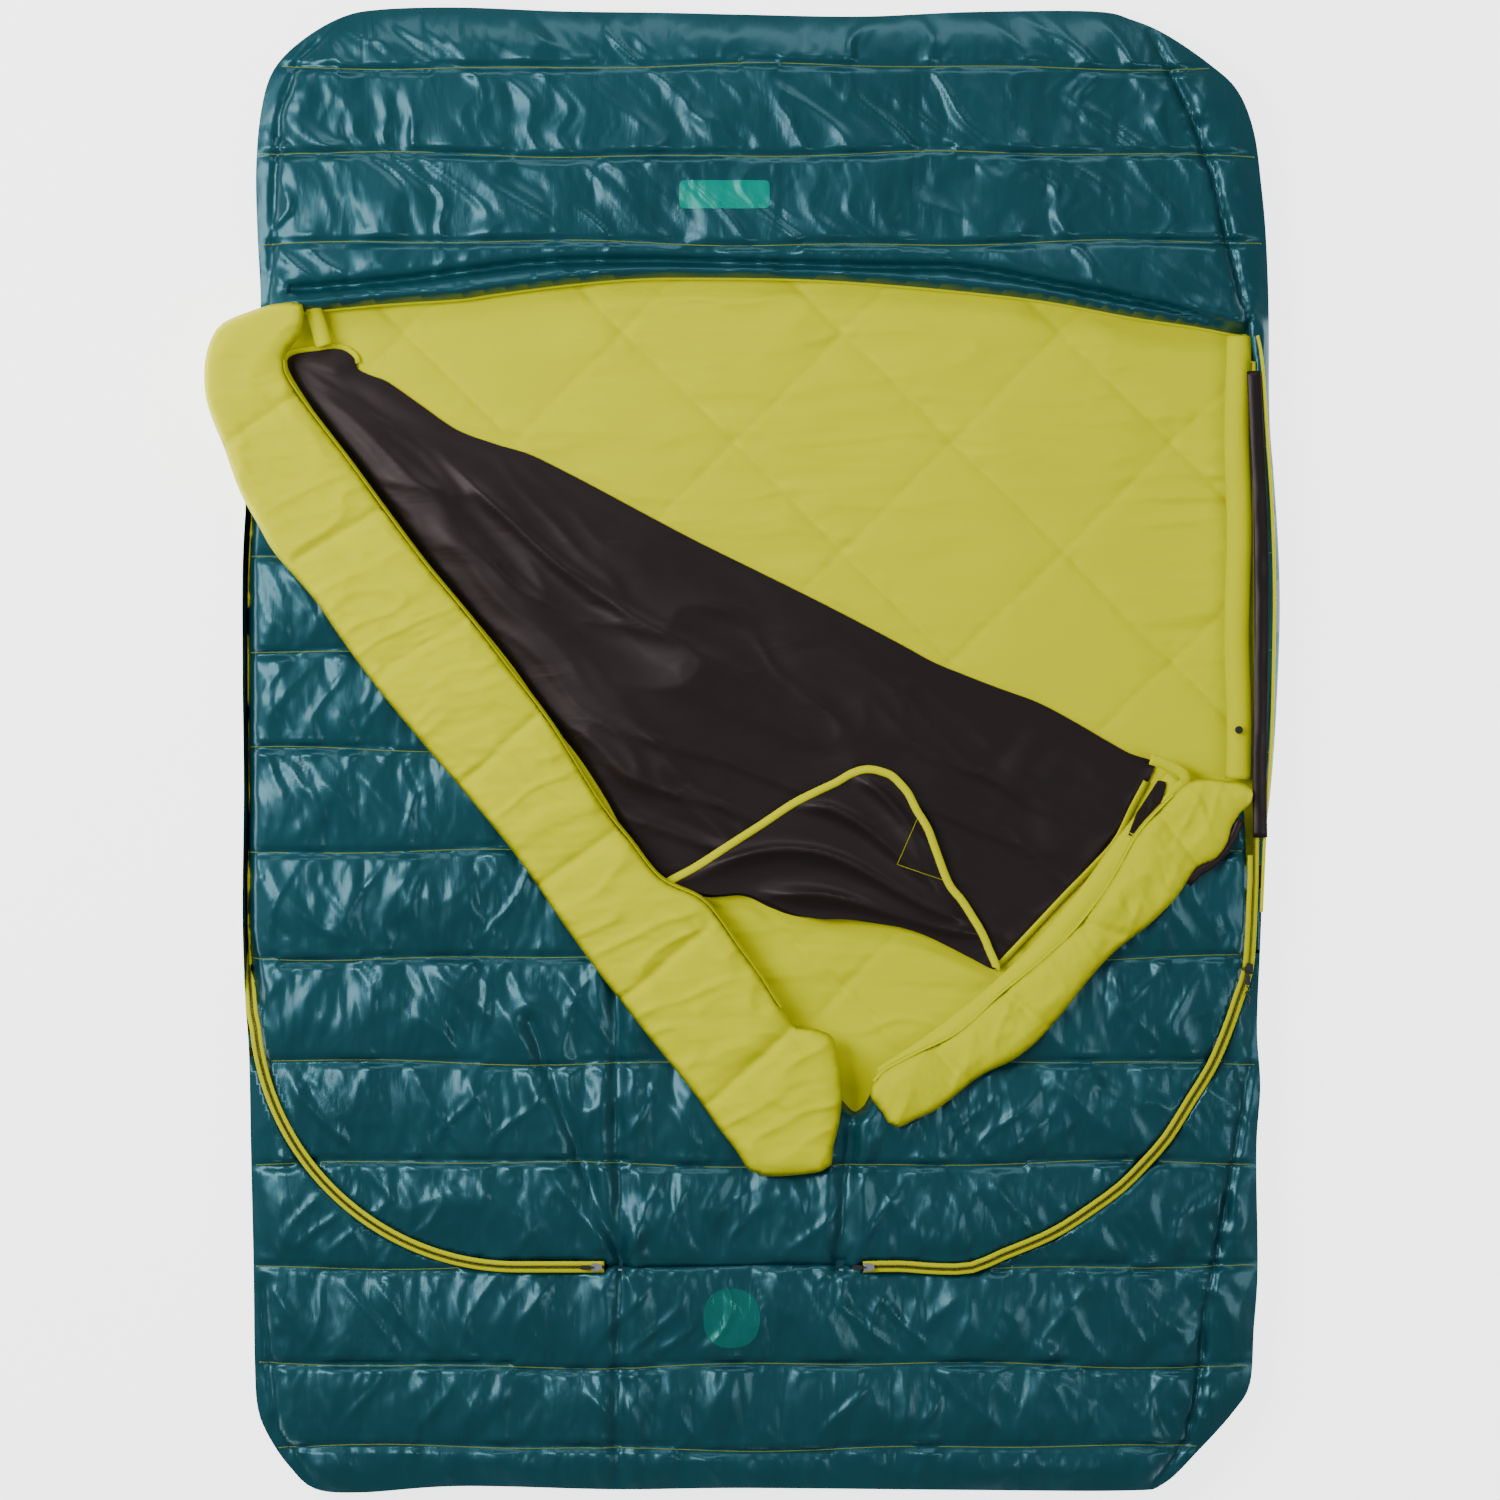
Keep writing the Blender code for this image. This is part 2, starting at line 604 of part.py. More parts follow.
hem_z = (HOOD_LINER_Z + HOOD_TOP_Z) / 2
piece("hood_hem_tube", tube(hem_path, HEM_RADIUS, HEM_RADIUS, hem_z), "shell_fabric", "base", smooth=True)

# ---- linings along the opening

draft_x = RIGHT_ZIP_X + ZIP_HALF_WIDTH - CLEARANCE - DRAFT_WIDTH / 2
draft_z = TAPE_Z - CLEARANCE - DRAFT_HEIGHT / 2
draft_head = mouth(RIGHT_ZIP_X) - 2 * HEM_RADIUS - 3 * CLEARANCE
piece(
    "right_draft_tube",
    tube([(draft_x, DRAFT_FOOT_Y), (draft_x, draft_head)], DRAFT_WIDTH / 2, DRAFT_HEIGHT / 2, draft_z, 12),
    "lining_fabric", "base", smooth=True,
)
left_draft_y = (V_TOP_LEFT[1] + 0.010, V_TOP_LEFT[1] + 0.010 + LEFT_DRAFT_LENGTH)
left_draft_x = inner_left + LEFT_DRAFT_WIDTH / 2
piece(
    "left_draft_tube",
    tube([(left_draft_x, left_draft_y[0]), (left_draft_x, left_draft_y[1])],
         LEFT_DRAFT_WIDTH / 2, DRAFT_HEIGHT / 2, draft_z, 12),
    "lining_fabric", "base", smooth=True,
)
facing_head = ZIP_TOP_Y
facing = [
    (RIGHT_ZIP_X + ZIP_HALF_WIDTH + CLEARANCE, facing_head - FACING_LENGTH),
    (inner_right, facing_head - FACING_LENGTH),
    (inner_right, facing_head),
    (RIGHT_ZIP_X + ZIP_HALF_WIDTH + CLEARANCE, facing_head),
]
piece("right_zip_facing", prism(facing, QUILT_SHELL_Z, QUILT_SHELL_Z + TAPE), "sheet_satin", "base")
piping_x = RIGHT_X + PIPING_RADIUS + CLEARANCE + 0.0001
piece(
    "right_piping",
    tube([(piping_x, ZIP_TOP_Y - PIPING_LENGTH), (piping_x, ZIP_TOP_Y)],
         PIPING_RADIUS, PIPING_RADIUS, WALL_TOP_Z - PIPING_RADIUS, 8),
    "zip_tape", "base", smooth=True,
)
snap = arc((draft_x, SNAP_Y), SNAP_RADIUS, 0, 360 - 360 / 16, 15)
snap_z = draft_z + DRAFT_HEIGHT / 2 * math.cos(math.pi / 12)
piece("snap_socket", prism(snap, snap_z + CLEARANCE, snap_z + CLEARANCE + SNAP_HEIGHT), "cord_black", "base")

# ---- zip tapes and coils: the base's half outside each middle line, the quilt's half inside

side_along = (RIGHT_ARC[0] - RIGHT_ZIP_END_X) + math.radians(90 + SIDE_SLIDER_ANGLE) * RIGHT_ZIP_RADIUS
notch = SLIDER_LENGTH / 2 + SLIDER_NOTCH
left_zip_from = (LEFT_ZIP_END_X - LEFT_SLIDER_X) + notch + PULL_LENGTH  # the pull lies over this side
right_zip_from = (RIGHT_SLIDER_X - RIGHT_ZIP_END_X) + notch
left_length, right_length = run_length(left_zip), run_length(right_zip)
quilt_corner_y = V_TOP_RIGHT[1] - 0.004
open_end = right_length - (ZIP_TOP_Y - quilt_corner_y)
left_inner_end = left_length - (ZIP_TOP_Y - V_TOP_LEFT[1]) - 0.010
# the bag's outside is to the left of the left zip's path, and to the right of the right one's
for name, path, near, far, start, end, with_coil, on in (
    ("left_outer", left_zip, ZIP_SPLIT, ZIP_HALF_WIDTH - CLEARANCE, 0.0, left_length, True, "base"),
    ("left_inner", left_zip, -ZIP_SPLIT, CLEARANCE - ZIP_HALF_WIDTH, left_zip_from, left_inner_end, True,
     "top_quilt"),
    ("right_outer", right_zip, -ZIP_SPLIT, CLEARANCE - ZIP_HALF_WIDTH, 0.0, right_length, True, "base"),
    ("right_inner", right_zip, ZIP_SPLIT, ZIP_HALF_WIDTH - CLEARANCE, right_zip_from, side_along - notch, True,
     "top_quilt"),
    ("right_open", right_zip, ZIP_SPLIT, ZIP_HALF_WIDTH - CLEARANCE, side_along + notch, open_end, False,
     "top_quilt"),
):
    stretch = cut_path(path, start, end - 1e-6)
    piece(name + "_tape", prism(strip(stretch, near, far), TAPE_Z, TAPE_Z + TAPE), "zip_tape", on)
    if with_coil:
        edge = COIL_WIDTH if near > 0 else -COIL_WIDTH
        piece(
            name + "_coil",
            prism(strip(stretch, near, near + edge), COIL_Z, COIL_Z + COIL_HEIGHT),
            "zip_coil", on,
        )
for name, x, step in (("left_zip_stop", LEFT_ZIP_END_X, -1), ("right_zip_stop", RIGHT_ZIP_END_X, 1)):
    near = ZIP_Y - ZIP_SPLIT - COIL_WIDTH - CLEARANCE
    low, high = sorted((x + step * 0.001, x + step * (0.001 + STOP_LENGTH)))
    corners = [(low, near - 0.003), (high, near - 0.003), (high, near), (low, near)]
    piece(name, prism(corners, COIL_Z, COIL_Z + COIL_HEIGHT), "slider_metal", "base")

# ---- top quilt

quilt = (
    [(LEFT_ZIP_X + ZIP_HALF_WIDTH, V_TOP_LEFT[1])]
    + arc(LEFT_ARC, LEFT_ZIP_RADIUS - ZIP_HALF_WIDTH, 180, 270, ARC_STEPS)
    + [(LEFT_ZIP_END_X, ZIP_Y + ZIP_HALF_WIDTH), (LEFT_ZIP_END_X + 0.002, ZIP_Y + 0.0008)]
    + [(RIGHT_ZIP_END_X - 0.002, ZIP_Y + 0.0008), (RIGHT_ZIP_END_X, ZIP_Y + ZIP_HALF_WIDTH)]
    + arc(RIGHT_ARC, RIGHT_ZIP_RADIUS - ZIP_HALF_WIDTH, -90, 0, ARC_STEPS)
    + [(RIGHT_ZIP_X - ZIP_HALF_WIDTH, quilt_corner_y)]
    + [V_TOP_RIGHT, V_TIP, V_TOP_LEFT]
)
quilt_lines = [y for y in body_seams if ZIP_Y + 0.03 < y < V_TOP_LEFT[1] - 0.03]
piece("quilt_liner", prism(quilt, QUILT_LINER_Z, QUILT_LINER_Z + FABRIC), "lining_fabric", "top_quilt")
piece(
    "quilt_insulation",
    quilted(quilt, QUILT_FILL_Z, QUILT_FILL_Z + QUILT_LOFT, quilt_lines, UP, False), "batting", "top_quilt",
)
piece(
    "quilt_shell",
    quilted(quilt, QUILT_SHELL_Z, QUILT_TOP_Z, quilt_lines, UP, True), "shell_fabric", "top_quilt",
)

# ---- turned-back edges, folded over with their lining up

left_band = [
    left_fold(along, across)
    for along, across in (
        (0.020 - LEFT_BAND_HEAD, FOLD_GAP),
        (LEFT_BAND_END - 0.055, FOLD_GAP),
        (LEFT_BAND_END + 0.010, LEFT_BAND_WIDTH * 0.24),
        (LEFT_BAND_END + 0.061, LEFT_BAND_WIDTH * 0.48),
        (LEFT_BAND_END + 0.035, LEFT_BAND_WIDTH * 0.72),
        (LEFT_BAND_END, LEFT_BAND_WIDTH),
        (0.300, LEFT_BAND_WIDTH),
        (0.170, LEFT_BAND_WIDTH * 0.96),
        (0.060, LEFT_BAND_WIDTH * 0.84),
        (0.050 - LEFT_BAND_HEAD, LEFT_BAND_WIDTH * 0.593),
        (0.023 - LEFT_BAND_HEAD, LEFT_BAND_WIDTH * 0.44),
        (-LEFT_BAND_HEAD, LEFT_BAND_WIDTH * 0.19),
    )
]
right_band = [
    right_fold(along, across)
    for along, across in (
        (0.046 - RIGHT_BAND_HEAD, FOLD_GAP),
        (0.028 - RIGHT_BAND_HEAD, RIGHT_BAND_WIDTH * 0.29),
        (-RIGHT_BAND_HEAD, RIGHT_BAND_WIDTH * 0.66),
        (0.008 - RIGHT_BAND_HEAD, RIGHT_BAND_WIDTH * 0.77),
        (0.017, RIGHT_BAND_WIDTH * 0.94),
        (0.137, RIGHT_BAND_WIDTH),
        (0.440, RIGHT_BAND_WIDTH),
        (RIGHT_BAND_END - 0.090, RIGHT_BAND_WIDTH * 0.82),
        (RIGHT_BAND_END, RIGHT_BAND_WIDTH * 0.57),
        (RIGHT_BAND_END + 0.005, RIGHT_BAND_WIDTH * 0.37),
        (RIGHT_BAND_END - 0.010, FOLD_GAP),
    )
]
for side, outline, run, start, length in (
    ("left", left_band, LEFT_RUN, V_TOP_LEFT, LEFT_BAND_END),
    ("right", right_band, RIGHT_RUN, V_TOP_RIGHT, RIGHT_BAND_END),
):
    begins = Vector(start).dot(run)
    count = int(length / BAND_SEAM_PITCH)
    lines = [begins + BAND_SEAM_PITCH * (n + 0.6) for n in range(count)]
    lines = [at for at in lines if at < begins + length - 0.10]
    on = side + "_turnback"
    piece(side + "_fold_shell", prism(outline, BAND_SHELL_Z, BAND_SHELL_Z + FABRIC), "shell_fabric", on)
    piece(
        side + "_fold_insulation",
        quilted(outline, BAND_FILL_Z, BAND_FILL_Z + BAND_LOFT, lines, run, False), "batting", on,
    )
    piece(side + "_fold_liner", quilted(outline, BAND_LINER_Z, BAND_TOP_Z, lines, run, True), "lining_fabric", on)

# ---- built-in sheet: its lower layer on the liner, its upper half folded back over it, one corner flipped up

fold_run, fold_left = unit(sheet_top_left, SHEET_FOLD_END)
corner_run, corner_left = unit(sheet_corner_left, SHEET_TIP)
lower = [
    sheet_top_left,
    left_fold(SHEET_LEFT_END, -SHEET_EDGE_GAP),
    (sheet_corner_left[0], sheet_corner_left[1] - SHEET_LOWER_DEPTH / 2),
    (SHEET_TIP[0] + 0.10, sheet_corner_left[1] - SHEET_LOWER_DEPTH / 2),
    SHEET_FOLD_END,
]
piece("sheet_lower", prism(lower, SHEET_LOWER_Z, SHEET_LOWER_Z + SHEET), "sheet_satin", "base")
loop_at = Vector(SHEET_FOLD_END) + Vector((0.012, 0.004))
loop = [tuple(loop_at), tuple(loop_at + Vector((0.5, -0.87)) * LOOP_SIDE), tuple(loop_at + Vector((1, 0)) * LOOP_SIDE)]
piece("sheet_loop", prism(loop, SHEET_LOWER_Z, SHEET_LOWER_Z + SHEET), "lining_fabric", "base")

left_edge = [sheet_top_left, sheet_corner_left]
right_edge = [SHEET_TIP, SHEET_RIGHT_TOP, SHEET_FOLD_END]
top_z = SHEET_UPPER_Z + BINDING
inside_left = offset(left_edge, BINDING_WIDTH + CLEARANCE)
inside_right = offset(right_edge, BINDING_WIDTH + CLEARANCE)
upper = [
    inside_left[0],
    inside_left[1],
    tuple(Vector(SHEET_TIP) - corner_run * (BINDING_WIDTH + 0.006)),
    inside_right[1],
    inside_right[2],
]
# nothing reaches past the fold line, so that it all swings up
upper, left_binding, right_binding = (
    clipped(outline, sheet_top_left, -fold_left)
    for outline in (upper, strip(left_edge, 0, BINDING_WIDTH), strip(right_edge, 0, BINDING_WIDTH))
)
piece("sheet_upper", prism(upper, SHEET_UPPER_Z, SHEET_UPPER_Z + SHEET), "sheet_satin", "sheet")
piece("sheet_left_binding", prism(left_binding, SHEET_UPPER_Z, top_z), "zip_tape", "sheet")
piece("sheet_right_binding", prism(right_binding, SHEET_UPPER_Z, top_z), "zip_tape", "sheet")

tip = Vector(SHEET_TIP) - corner_run * 0.014
start = Vector(sheet_corner_left) + corner_run * 0.014
flap_edge = [
    tuple(tip + corner_left * CORNER_FOLD_GAP), CORNER_APEX, CORNER_SHOULDER,
    tuple(start + corner_left * CORNER_FOLD_GAP),
]
flap_inside = offset(flap_edge, BINDING_WIDTH + CLEARANCE)
fold_edge = Vector(SHEET_TIP) + corner_left * CORNER_FOLD_GAP
flap, flap_binding = (
    clipped(outline, fold_edge, corner_left) for outline in (flap_inside, strip(flap_edge, 0, BINDING_WIDTH))
)
piece("sheet_corner", prism(flap, SHEET_CORNER_Z, SHEET_CORNER_Z + SHEET), "sheet_satin", "sheet_corner")
piece(
    "corner_binding",
    prism(flap_binding, SHEET_CORNER_Z, SHEET_CORNER_Z + BINDING), "zip_tape", "sheet_corner",
)
edge_run, edge_left = unit(flap_edge[0], flap_edge[1])
patch_at = Vector(flap_edge[0]).lerp(Vector(flap_edge[1]), 0.55) + edge_left * (BINDING_WIDTH + 0.004)
patch = [
    tuple(patch_at + edge_run * CORNER_PATCH_SIDE / 2),
    tuple(patch_at + edge_left * CORNER_PATCH_SIDE * 0.45 - edge_run * CORNER_PATCH_SIDE / 4),
    tuple(patch_at - edge_run * CORNER_PATCH_SIDE / 2),
]
piece(
    "corner_patch",
    prism(patch, SHEET_CORNER_Z + SHEET + CLEARANCE, SHEET_CORNER_Z + SHEET + CLEARANCE + PATCH),
    "sheet_satin", "sheet_corner",
)

# ---- sliders, pulls and the side pull's cord

def turned(points, origin, run):
    """Plan points given along and to the left of run, placed from origin."""
    side = Vector((-run.y, run.x))
    return [tuple(Vector(origin) + run * a + side * b) for a, b in points]


def slider(at, run):
    """A wedge-shaped body with two ears for its pull, the narrow end along run."""
    half, nose, length = SLIDER_WIDTH / 2, SLIDER_NOSE / 2, SLIDER_LENGTH / 2
    wedge = [(-length, -half), (length * 0.2, -half), (length, -nose), (length, nose),
             (length * 0.2, half), (-length, half)]
    shape = prism(turned(wedge, at, run), SLIDER_Z, SLIDER_Z + SLIDER_HEIGHT)
    gap = PULL_BARREL_WIDTH / 2 + CLEARANCE
    for side in (-1, 1):
        low, high = sorted((side * gap, side * (gap + EAR_THICKNESS)))
        ear = [(-ear_at - EAR_LENGTH / 2, low), (-ear_at + EAR_LENGTH / 2, low),
               (-ear_at + EAR_LENGTH / 2, high), (-ear_at - EAR_LENGTH / 2, high)]
        top = SLIDER_Z + SLIDER_HEIGHT
        shape = joined(shape, prism(turned(ear, at, run), top - 0.002, top + EAR_HEIGHT))
    return shape


def pull(at, run):
    """A barrel on the ears' axis and a flat tab that points back from it."""
    side = Vector((-run.y, run.x))
    barrel = bmesh.new()
    rings = []
    for end in (-1, 1):
        ring = []
        for k in range(12):
            a = 2 * math.pi * k / 12
            plan = Vector(at) + side * end * PULL_BARREL_WIDTH / 2 + run * PULL_BARREL_RADIUS * math.cos(a)
            ring.append(barrel.verts.new((plan.x, plan.y, pull_z + PULL_BARREL_RADIUS * math.sin(a))))
        rings.append(ring)
    for k in range(12):
        m = (k + 1) % 12
        barrel.faces.new((rings[0][k], rings[0][m], rings[1][m], rings[1][k]))
    barrel.faces.new(rings[0][::-1])
    barrel.faces.new(rings[1])
    neck, half, far = PULL_BARREL_WIDTH / 2 - 0.0002, PULL_WIDTH / 2, -PULL_LENGTH
    tab = [(0, -neck), (0, neck), (-0.0040, neck), (-0.0065, half), (far + 0.002, half), (far, half - 0.002),
           (far, 0.002 - half), (far + 0.002, -half), (-0.0065, -half), (-0.0040, -neck)]
    flat = prism(turned(tab, at, run), pull_z - PULL_THICKNESS / 2, pull_z + PULL_THICKNESS / 2)
    return joined(barrel, flat)


EAST, WEST = Vector((1, 0)), Vector((-1, 0))
piece("left_foot_slider", slider((LEFT_SLIDER_X, ZIP_Y), EAST), "slider_metal", "left_slider")
piece("left_foot_pull", pull((LEFT_SLIDER_X - ear_at, ZIP_Y), EAST), "slider_metal", "left_pull")
piece("right_foot_slider", slider((RIGHT_SLIDER_X, ZIP_Y), EAST), "slider_metal", "right_slider")
piece("right_foot_pull", pull((RIGHT_SLIDER_X - ear_at, ZIP_Y), EAST), "slider_metal", "right_pull")
piece("side_slider_body", slider(tuple(side_at), side_run), "slider_metal", "side_slider")
side_pull_at = side_at - side_run * ear_at
piece("side_slider_pull", pull(tuple(side_pull_at), side_run), "slider_metal", "side_pull")
cord_start = side_pull_at - side_run * (PULL_LENGTH + CLEARANCE)
cord = bmesh.new()
rings = []
stations = [(0.0, CORD_RADIUS), (CORD_LENGTH - 2 * KNOT_RADIUS, CORD_RADIUS), (CORD_LENGTH - 1.4 * KNOT_RADIUS, KNOT_RADIUS),
            (CORD_LENGTH - 0.6 * KNOT_RADIUS, KNOT_RADIUS), (CORD_LENGTH, CORD_RADIUS)]
for along, radius in stations:
    ring = []
    for k in range(10):
        a = 2 * math.pi * k / 10
        plan = cord_start - side_run * along + side_out * radius * math.cos(a)
        ring.append(cord.verts.new((plan.x, plan.y, pull_z + radius * math.sin(a))))
    rings.append(ring)
for one, two in zip(rings, rings[1:]):
    for k in range(10):
        m = (k + 1) % 10
        cord.faces.new((one[k], one[m], two[m], two[k]))
cord.faces.new(rings[0][::-1])
cord.faces.new(rings[-1])
piece("side_pull_cord", cord, "cord_black", "side_pull", smooth=True)

# ---- plain patches

hood_patch = rounded_rectangle(
    (HOOD_PATCH_CENTRE[0], HEAD_Y - HOOD_PATCH_CENTRE[1]), HOOD_PATCH_SIZE, PATCH_CORNER
)
foot_patch = rounded_rectangle(
    (FOOT_PATCH_CENTRE[0], FOOT_Y + FOOT_PATCH_CENTRE[1]), FOOT_PATCH_SIZE, PATCH_CORNER * 2
)
piece(
    "hood_label", prism(hood_patch, HOOD_TOP_Z + CLEARANCE, HOOD_TOP_Z + CLEARANCE + PATCH),
    "patch_print", "base",
)
piece(
    "foot_label", prism(foot_patch, QUILT_TOP_Z + CLEARANCE, QUILT_TOP_Z + CLEARANCE + PATCH),
    "patch_print", "base",
)
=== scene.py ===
"""The look of the two-person sleeping bag: quilted glossy shell, lime lining, satin sheet, zips and sliders.
Every shape is built here from plan outlines in millimetres, in the frame's own axes; all but the sheet's pieces
and the cloth across the folds ride on a CAD body."""

import json
import math

import bpy
import numpy as np
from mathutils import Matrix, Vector


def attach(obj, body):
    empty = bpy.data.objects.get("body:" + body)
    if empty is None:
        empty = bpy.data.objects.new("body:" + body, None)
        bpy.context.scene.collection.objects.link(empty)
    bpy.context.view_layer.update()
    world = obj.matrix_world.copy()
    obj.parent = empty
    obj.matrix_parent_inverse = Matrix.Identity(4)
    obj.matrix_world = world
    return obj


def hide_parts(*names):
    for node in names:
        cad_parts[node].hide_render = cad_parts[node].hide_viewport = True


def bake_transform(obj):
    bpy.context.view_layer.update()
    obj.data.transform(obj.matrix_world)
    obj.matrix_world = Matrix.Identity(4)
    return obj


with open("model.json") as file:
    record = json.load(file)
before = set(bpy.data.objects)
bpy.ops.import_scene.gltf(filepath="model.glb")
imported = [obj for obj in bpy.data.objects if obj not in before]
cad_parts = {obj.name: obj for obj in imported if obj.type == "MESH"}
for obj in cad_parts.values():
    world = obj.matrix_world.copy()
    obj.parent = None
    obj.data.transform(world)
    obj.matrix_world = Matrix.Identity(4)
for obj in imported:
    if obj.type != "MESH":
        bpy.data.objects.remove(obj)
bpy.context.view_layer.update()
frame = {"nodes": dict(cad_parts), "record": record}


def mm(points):
    """Plan points given in millimetres, as metres."""
    return [(x / 1000, y / 1000) for x, y in points]


# ---- heights, in metres above the ground
SEAM_Z = 0.068
EDGE_Z = 0.062
LINER_Z = 0.0345
QUILT_UNDER_Z = 0.049
SHEET_Z = 0.04
BAND_UNDER_Z = 0.086
BAND_TOP_Z = 0.11
ZIP_Z = 0.0815

# ---- the bag's silhouette from above, anticlockwise from its left side
OUTER = mm([
    (-775, 309), (-776, 124), (-774, -60), (-776, -250), (-772, -380), (-766, -470), (-763, -620),
    (-759, -800), (-757, -950), (-752, -1020), (-733, -1066), (-702, -1110), (-664, -1143),
    (-593, -1149), (-438, -1139), (-200, -1144), (0, -1142), (334, -1145), (590, -1146), (648, -1136),
    (705, -1082), (757, -1024), (783, -980), (789, -896), (795, -800), (793, -620), (799, -520),
    (794, -430), (799, -300), (805, -154), (815, -60), (823, 50), (829, 200), (827, 310), (820, 420),
    (813, 520), (812, 680), (808, 790), (801, 870), (789, 957), (764, 1020), (722, 1060), (655, 1106),
    (600, 1130), (540, 1143), (350, 1142), (180, 1135), (0, 1138), (-130, 1141), (-280, 1143),
    (-438, 1149), (-560, 1146), (-622, 1134), (-684, 1098), (-728, 1052), (-747, 990), (-755, 900),
    (-753, 800), (-748, 700), (-750, 600), (-762, 480),
])

# ---- zips: a run across the foot, a quarter turn, and the side
ZIP_Y = -0.798
LEFT_TURN, LEFT_R = (-0.35, -0.392), 0.406

# ---- seams across the bag, from the foot to the head
BODY_SEAMS = [-1.079, -0.951, -0.798, -0.64, -0.482, -0.32, -0.159, 0.000, 0.154, 0.303, 0.47]
HOOD_SEAMS = [0.783, 0.92, 1.056]

# ---- where the side walls are sewn to the top, and where the cloth gathers at the zips' ends
GUSSETS = [
    mm([(617, 1128), (653, 1064), (695, 974), (724, 892), (753, 767), (783, 645)]),
    mm([(794, -415), (786, -480), (761, -618), (733, -775), (713, -869), (706, -963), (686, -1070),
       (636, -1136)]),
    mm([(-630, 1126), (-690, 1066), (-719, 980), (-727, 850), (-731, 760), (-738, 690)]),
    mm([(-745, -830), (-735, -950), (-722, -1050), (-672, -1130)]),
]
GATHERS = mm([(-186, -798), (146, -797)])
FOLD_MARKS = [
    mm([(-200, -300), (-190, -790), (-196, -1130)]),
    mm([(168, -560), (150, -790)]),
    mm([(-330, -420), (-196, -780)]),
]

# ---- the hood's front edge
MOUTH = mm([
    (-748, 668), (-700, 676), (-560, 690), (-440, 698), (-386, 706), (-260, 722), (-160, 730),
    (-60, 731), (80, 729), (200, 722), (346, 709), (470, 694), (600, 670), (700, 655), (770, 641),
    (812, 632),
])
HEM_TOP = mm([
    (-700, 712), (-551, 724), (-440, 738), (-329, 752), (-200, 757), (-71, 755), (100, 750), (240, 747),
    (346, 744), (500, 715), (641, 686), (720, 664), (777, 648),
])

# ---- the turned-back edges, the opening and the sheet
LEFT_BAND = mm([
    (-681, 687), (-720, 688), (-755, 679), (-804, 658), (-824, 628), (-832, 590), (-830, 545),
    (-818, 505), (-803, 469), (-777, 398), (-748, 345), (-722, 301), (-665, 235), (-620, 170),
    (-566, 96), (-495, 10), (-421, -77), (-350, -165), (-283, -262), (-222, -346), (-155, -432),
    (-85, -519), (-40, -582), (-14, -615), (8, -648), (30, -657), (75, -656), (120, -650), (135, -640),
    (138, -610), (146, -580), (151, -528), (142, -460), (132, -438), (110, -430), (83, -427), (63, -405),
    (22, -342), (-8, -301), (-40, -255), (-68, -226), (-128, -196), (-175, -138), (-222, -78),
    (-296, 40), (-360, 125), (-420, 203), (-492, 290), (-552, 370), (-610, 449), (-672, 530),
    (-707, 585), (-704, 615), (-684, 640),
])
RIGHT_BAND = mm([
    (682, -51), (708, -45), (733, -46), (772, -52), (786, -64), (782, -82), (764, -98), (752, -118),
    (746, -141), (728, -168), (700, -182), (682, -205), (664, -231), (622, -272), (573, -310),
    (542, -342), (520, -369), (488, -410), (455, -447), (415, -478), (371, -499), (345, -518),
    (320, -538), (292, -558), (264, -570), (238, -583), (222, -575), (214, -560), (196, -538),
    (194, -524), (212, -496), (262, -468), (320, -440), (360, -408), (394, -376), (450, -330),
    (506, -279), (545, -230), (574, -185), (605, -130), (640, -90),
])
OPENING = mm([
    (-720, 600), (-560, 370), (-360, 110), (-150, -180), (20, -370), (150, -540), (180, -555),
    (212, -515), (320, -455), (400, -390), (510, -295), (612, -150), (690, -62), (770, -62),
])
SHEET_TOP = mm([
    (-710, 604), (-656, 621), (-623, 622), (-603, 608), (-599, 591), (-576, 580), (-553, 571),
    (-500, 534), (-446, 497), (-390, 476), (-334, 459), (-282, 434), (-230, 407), (-150, 364),
    (-68, 321), (40, 268), (140, 218), (241, 165), (290, 138), (338, 118), (395, 96), (455, 74),
    (512, 44), (565, 13), (600, -6), (637, -20), (626, -50), (605, -90), (579, -142), (541, -185),
    (500, -227), (452, -278), (403, -330), (392, -338), (378, -334), (350, -322), (270, -282),
    (210, -270), (151, -262), (83, -258), (40, -244), (-2, -226), (-60, -228), (-128, -209),
    (-180, -140), (-215, -77), (-255, -15), (-298, 40), (-358, 127), (-420, 204), (-492, 290),
    (-553, 372), (-610, 449), (-672, 531),
])
FLAP = mm([
    (392, -341), (382, -305), (370, -278), (358, -258), (340, -230), (320, -204), (300, -152),
    (288, -120), (270, -90), (258, -66), (245, -50), (230, -36), (212, -29), (197, -26), (181, -27),
    (162, -34), (142, -46), (108, -62), (73, -80), (25, -112), (-25, -144), (-76, -177), (-130, -209),
    (-90, -216), (-50, -224), (-2, -222), (40, -236), (83, -255), (120, -262), (151, -262), (210, -268),
    (270, -283), (330, -311),
])


# ---- numbers over the plan

def hashed(i, j, seed):
    h = np.sin(i * 127.1 + j * 311.7 + seed * 74.7) * 43758.5453
    return (h - np.floor(h)) * 2 - 1


def noise(x, y, seed):
    """Smooth noise from -1 to 1 with a period of about one unit."""
    i, j = np.floor(x), np.floor(y)
    u, v = x - i, y - j
    u, v = u * u * u * (u * (u * 6 - 15) + 10), v * v * v * (v * (v * 6 - 15) + 10)
    low = hashed(i, j, seed) * (1 - u) + hashed(i + 1, j, seed) * u
    high = hashed(i, j + 1, seed) * (1 - u) + hashed(i + 1, j + 1, seed) * u
    return low * (1 - v) + high * v


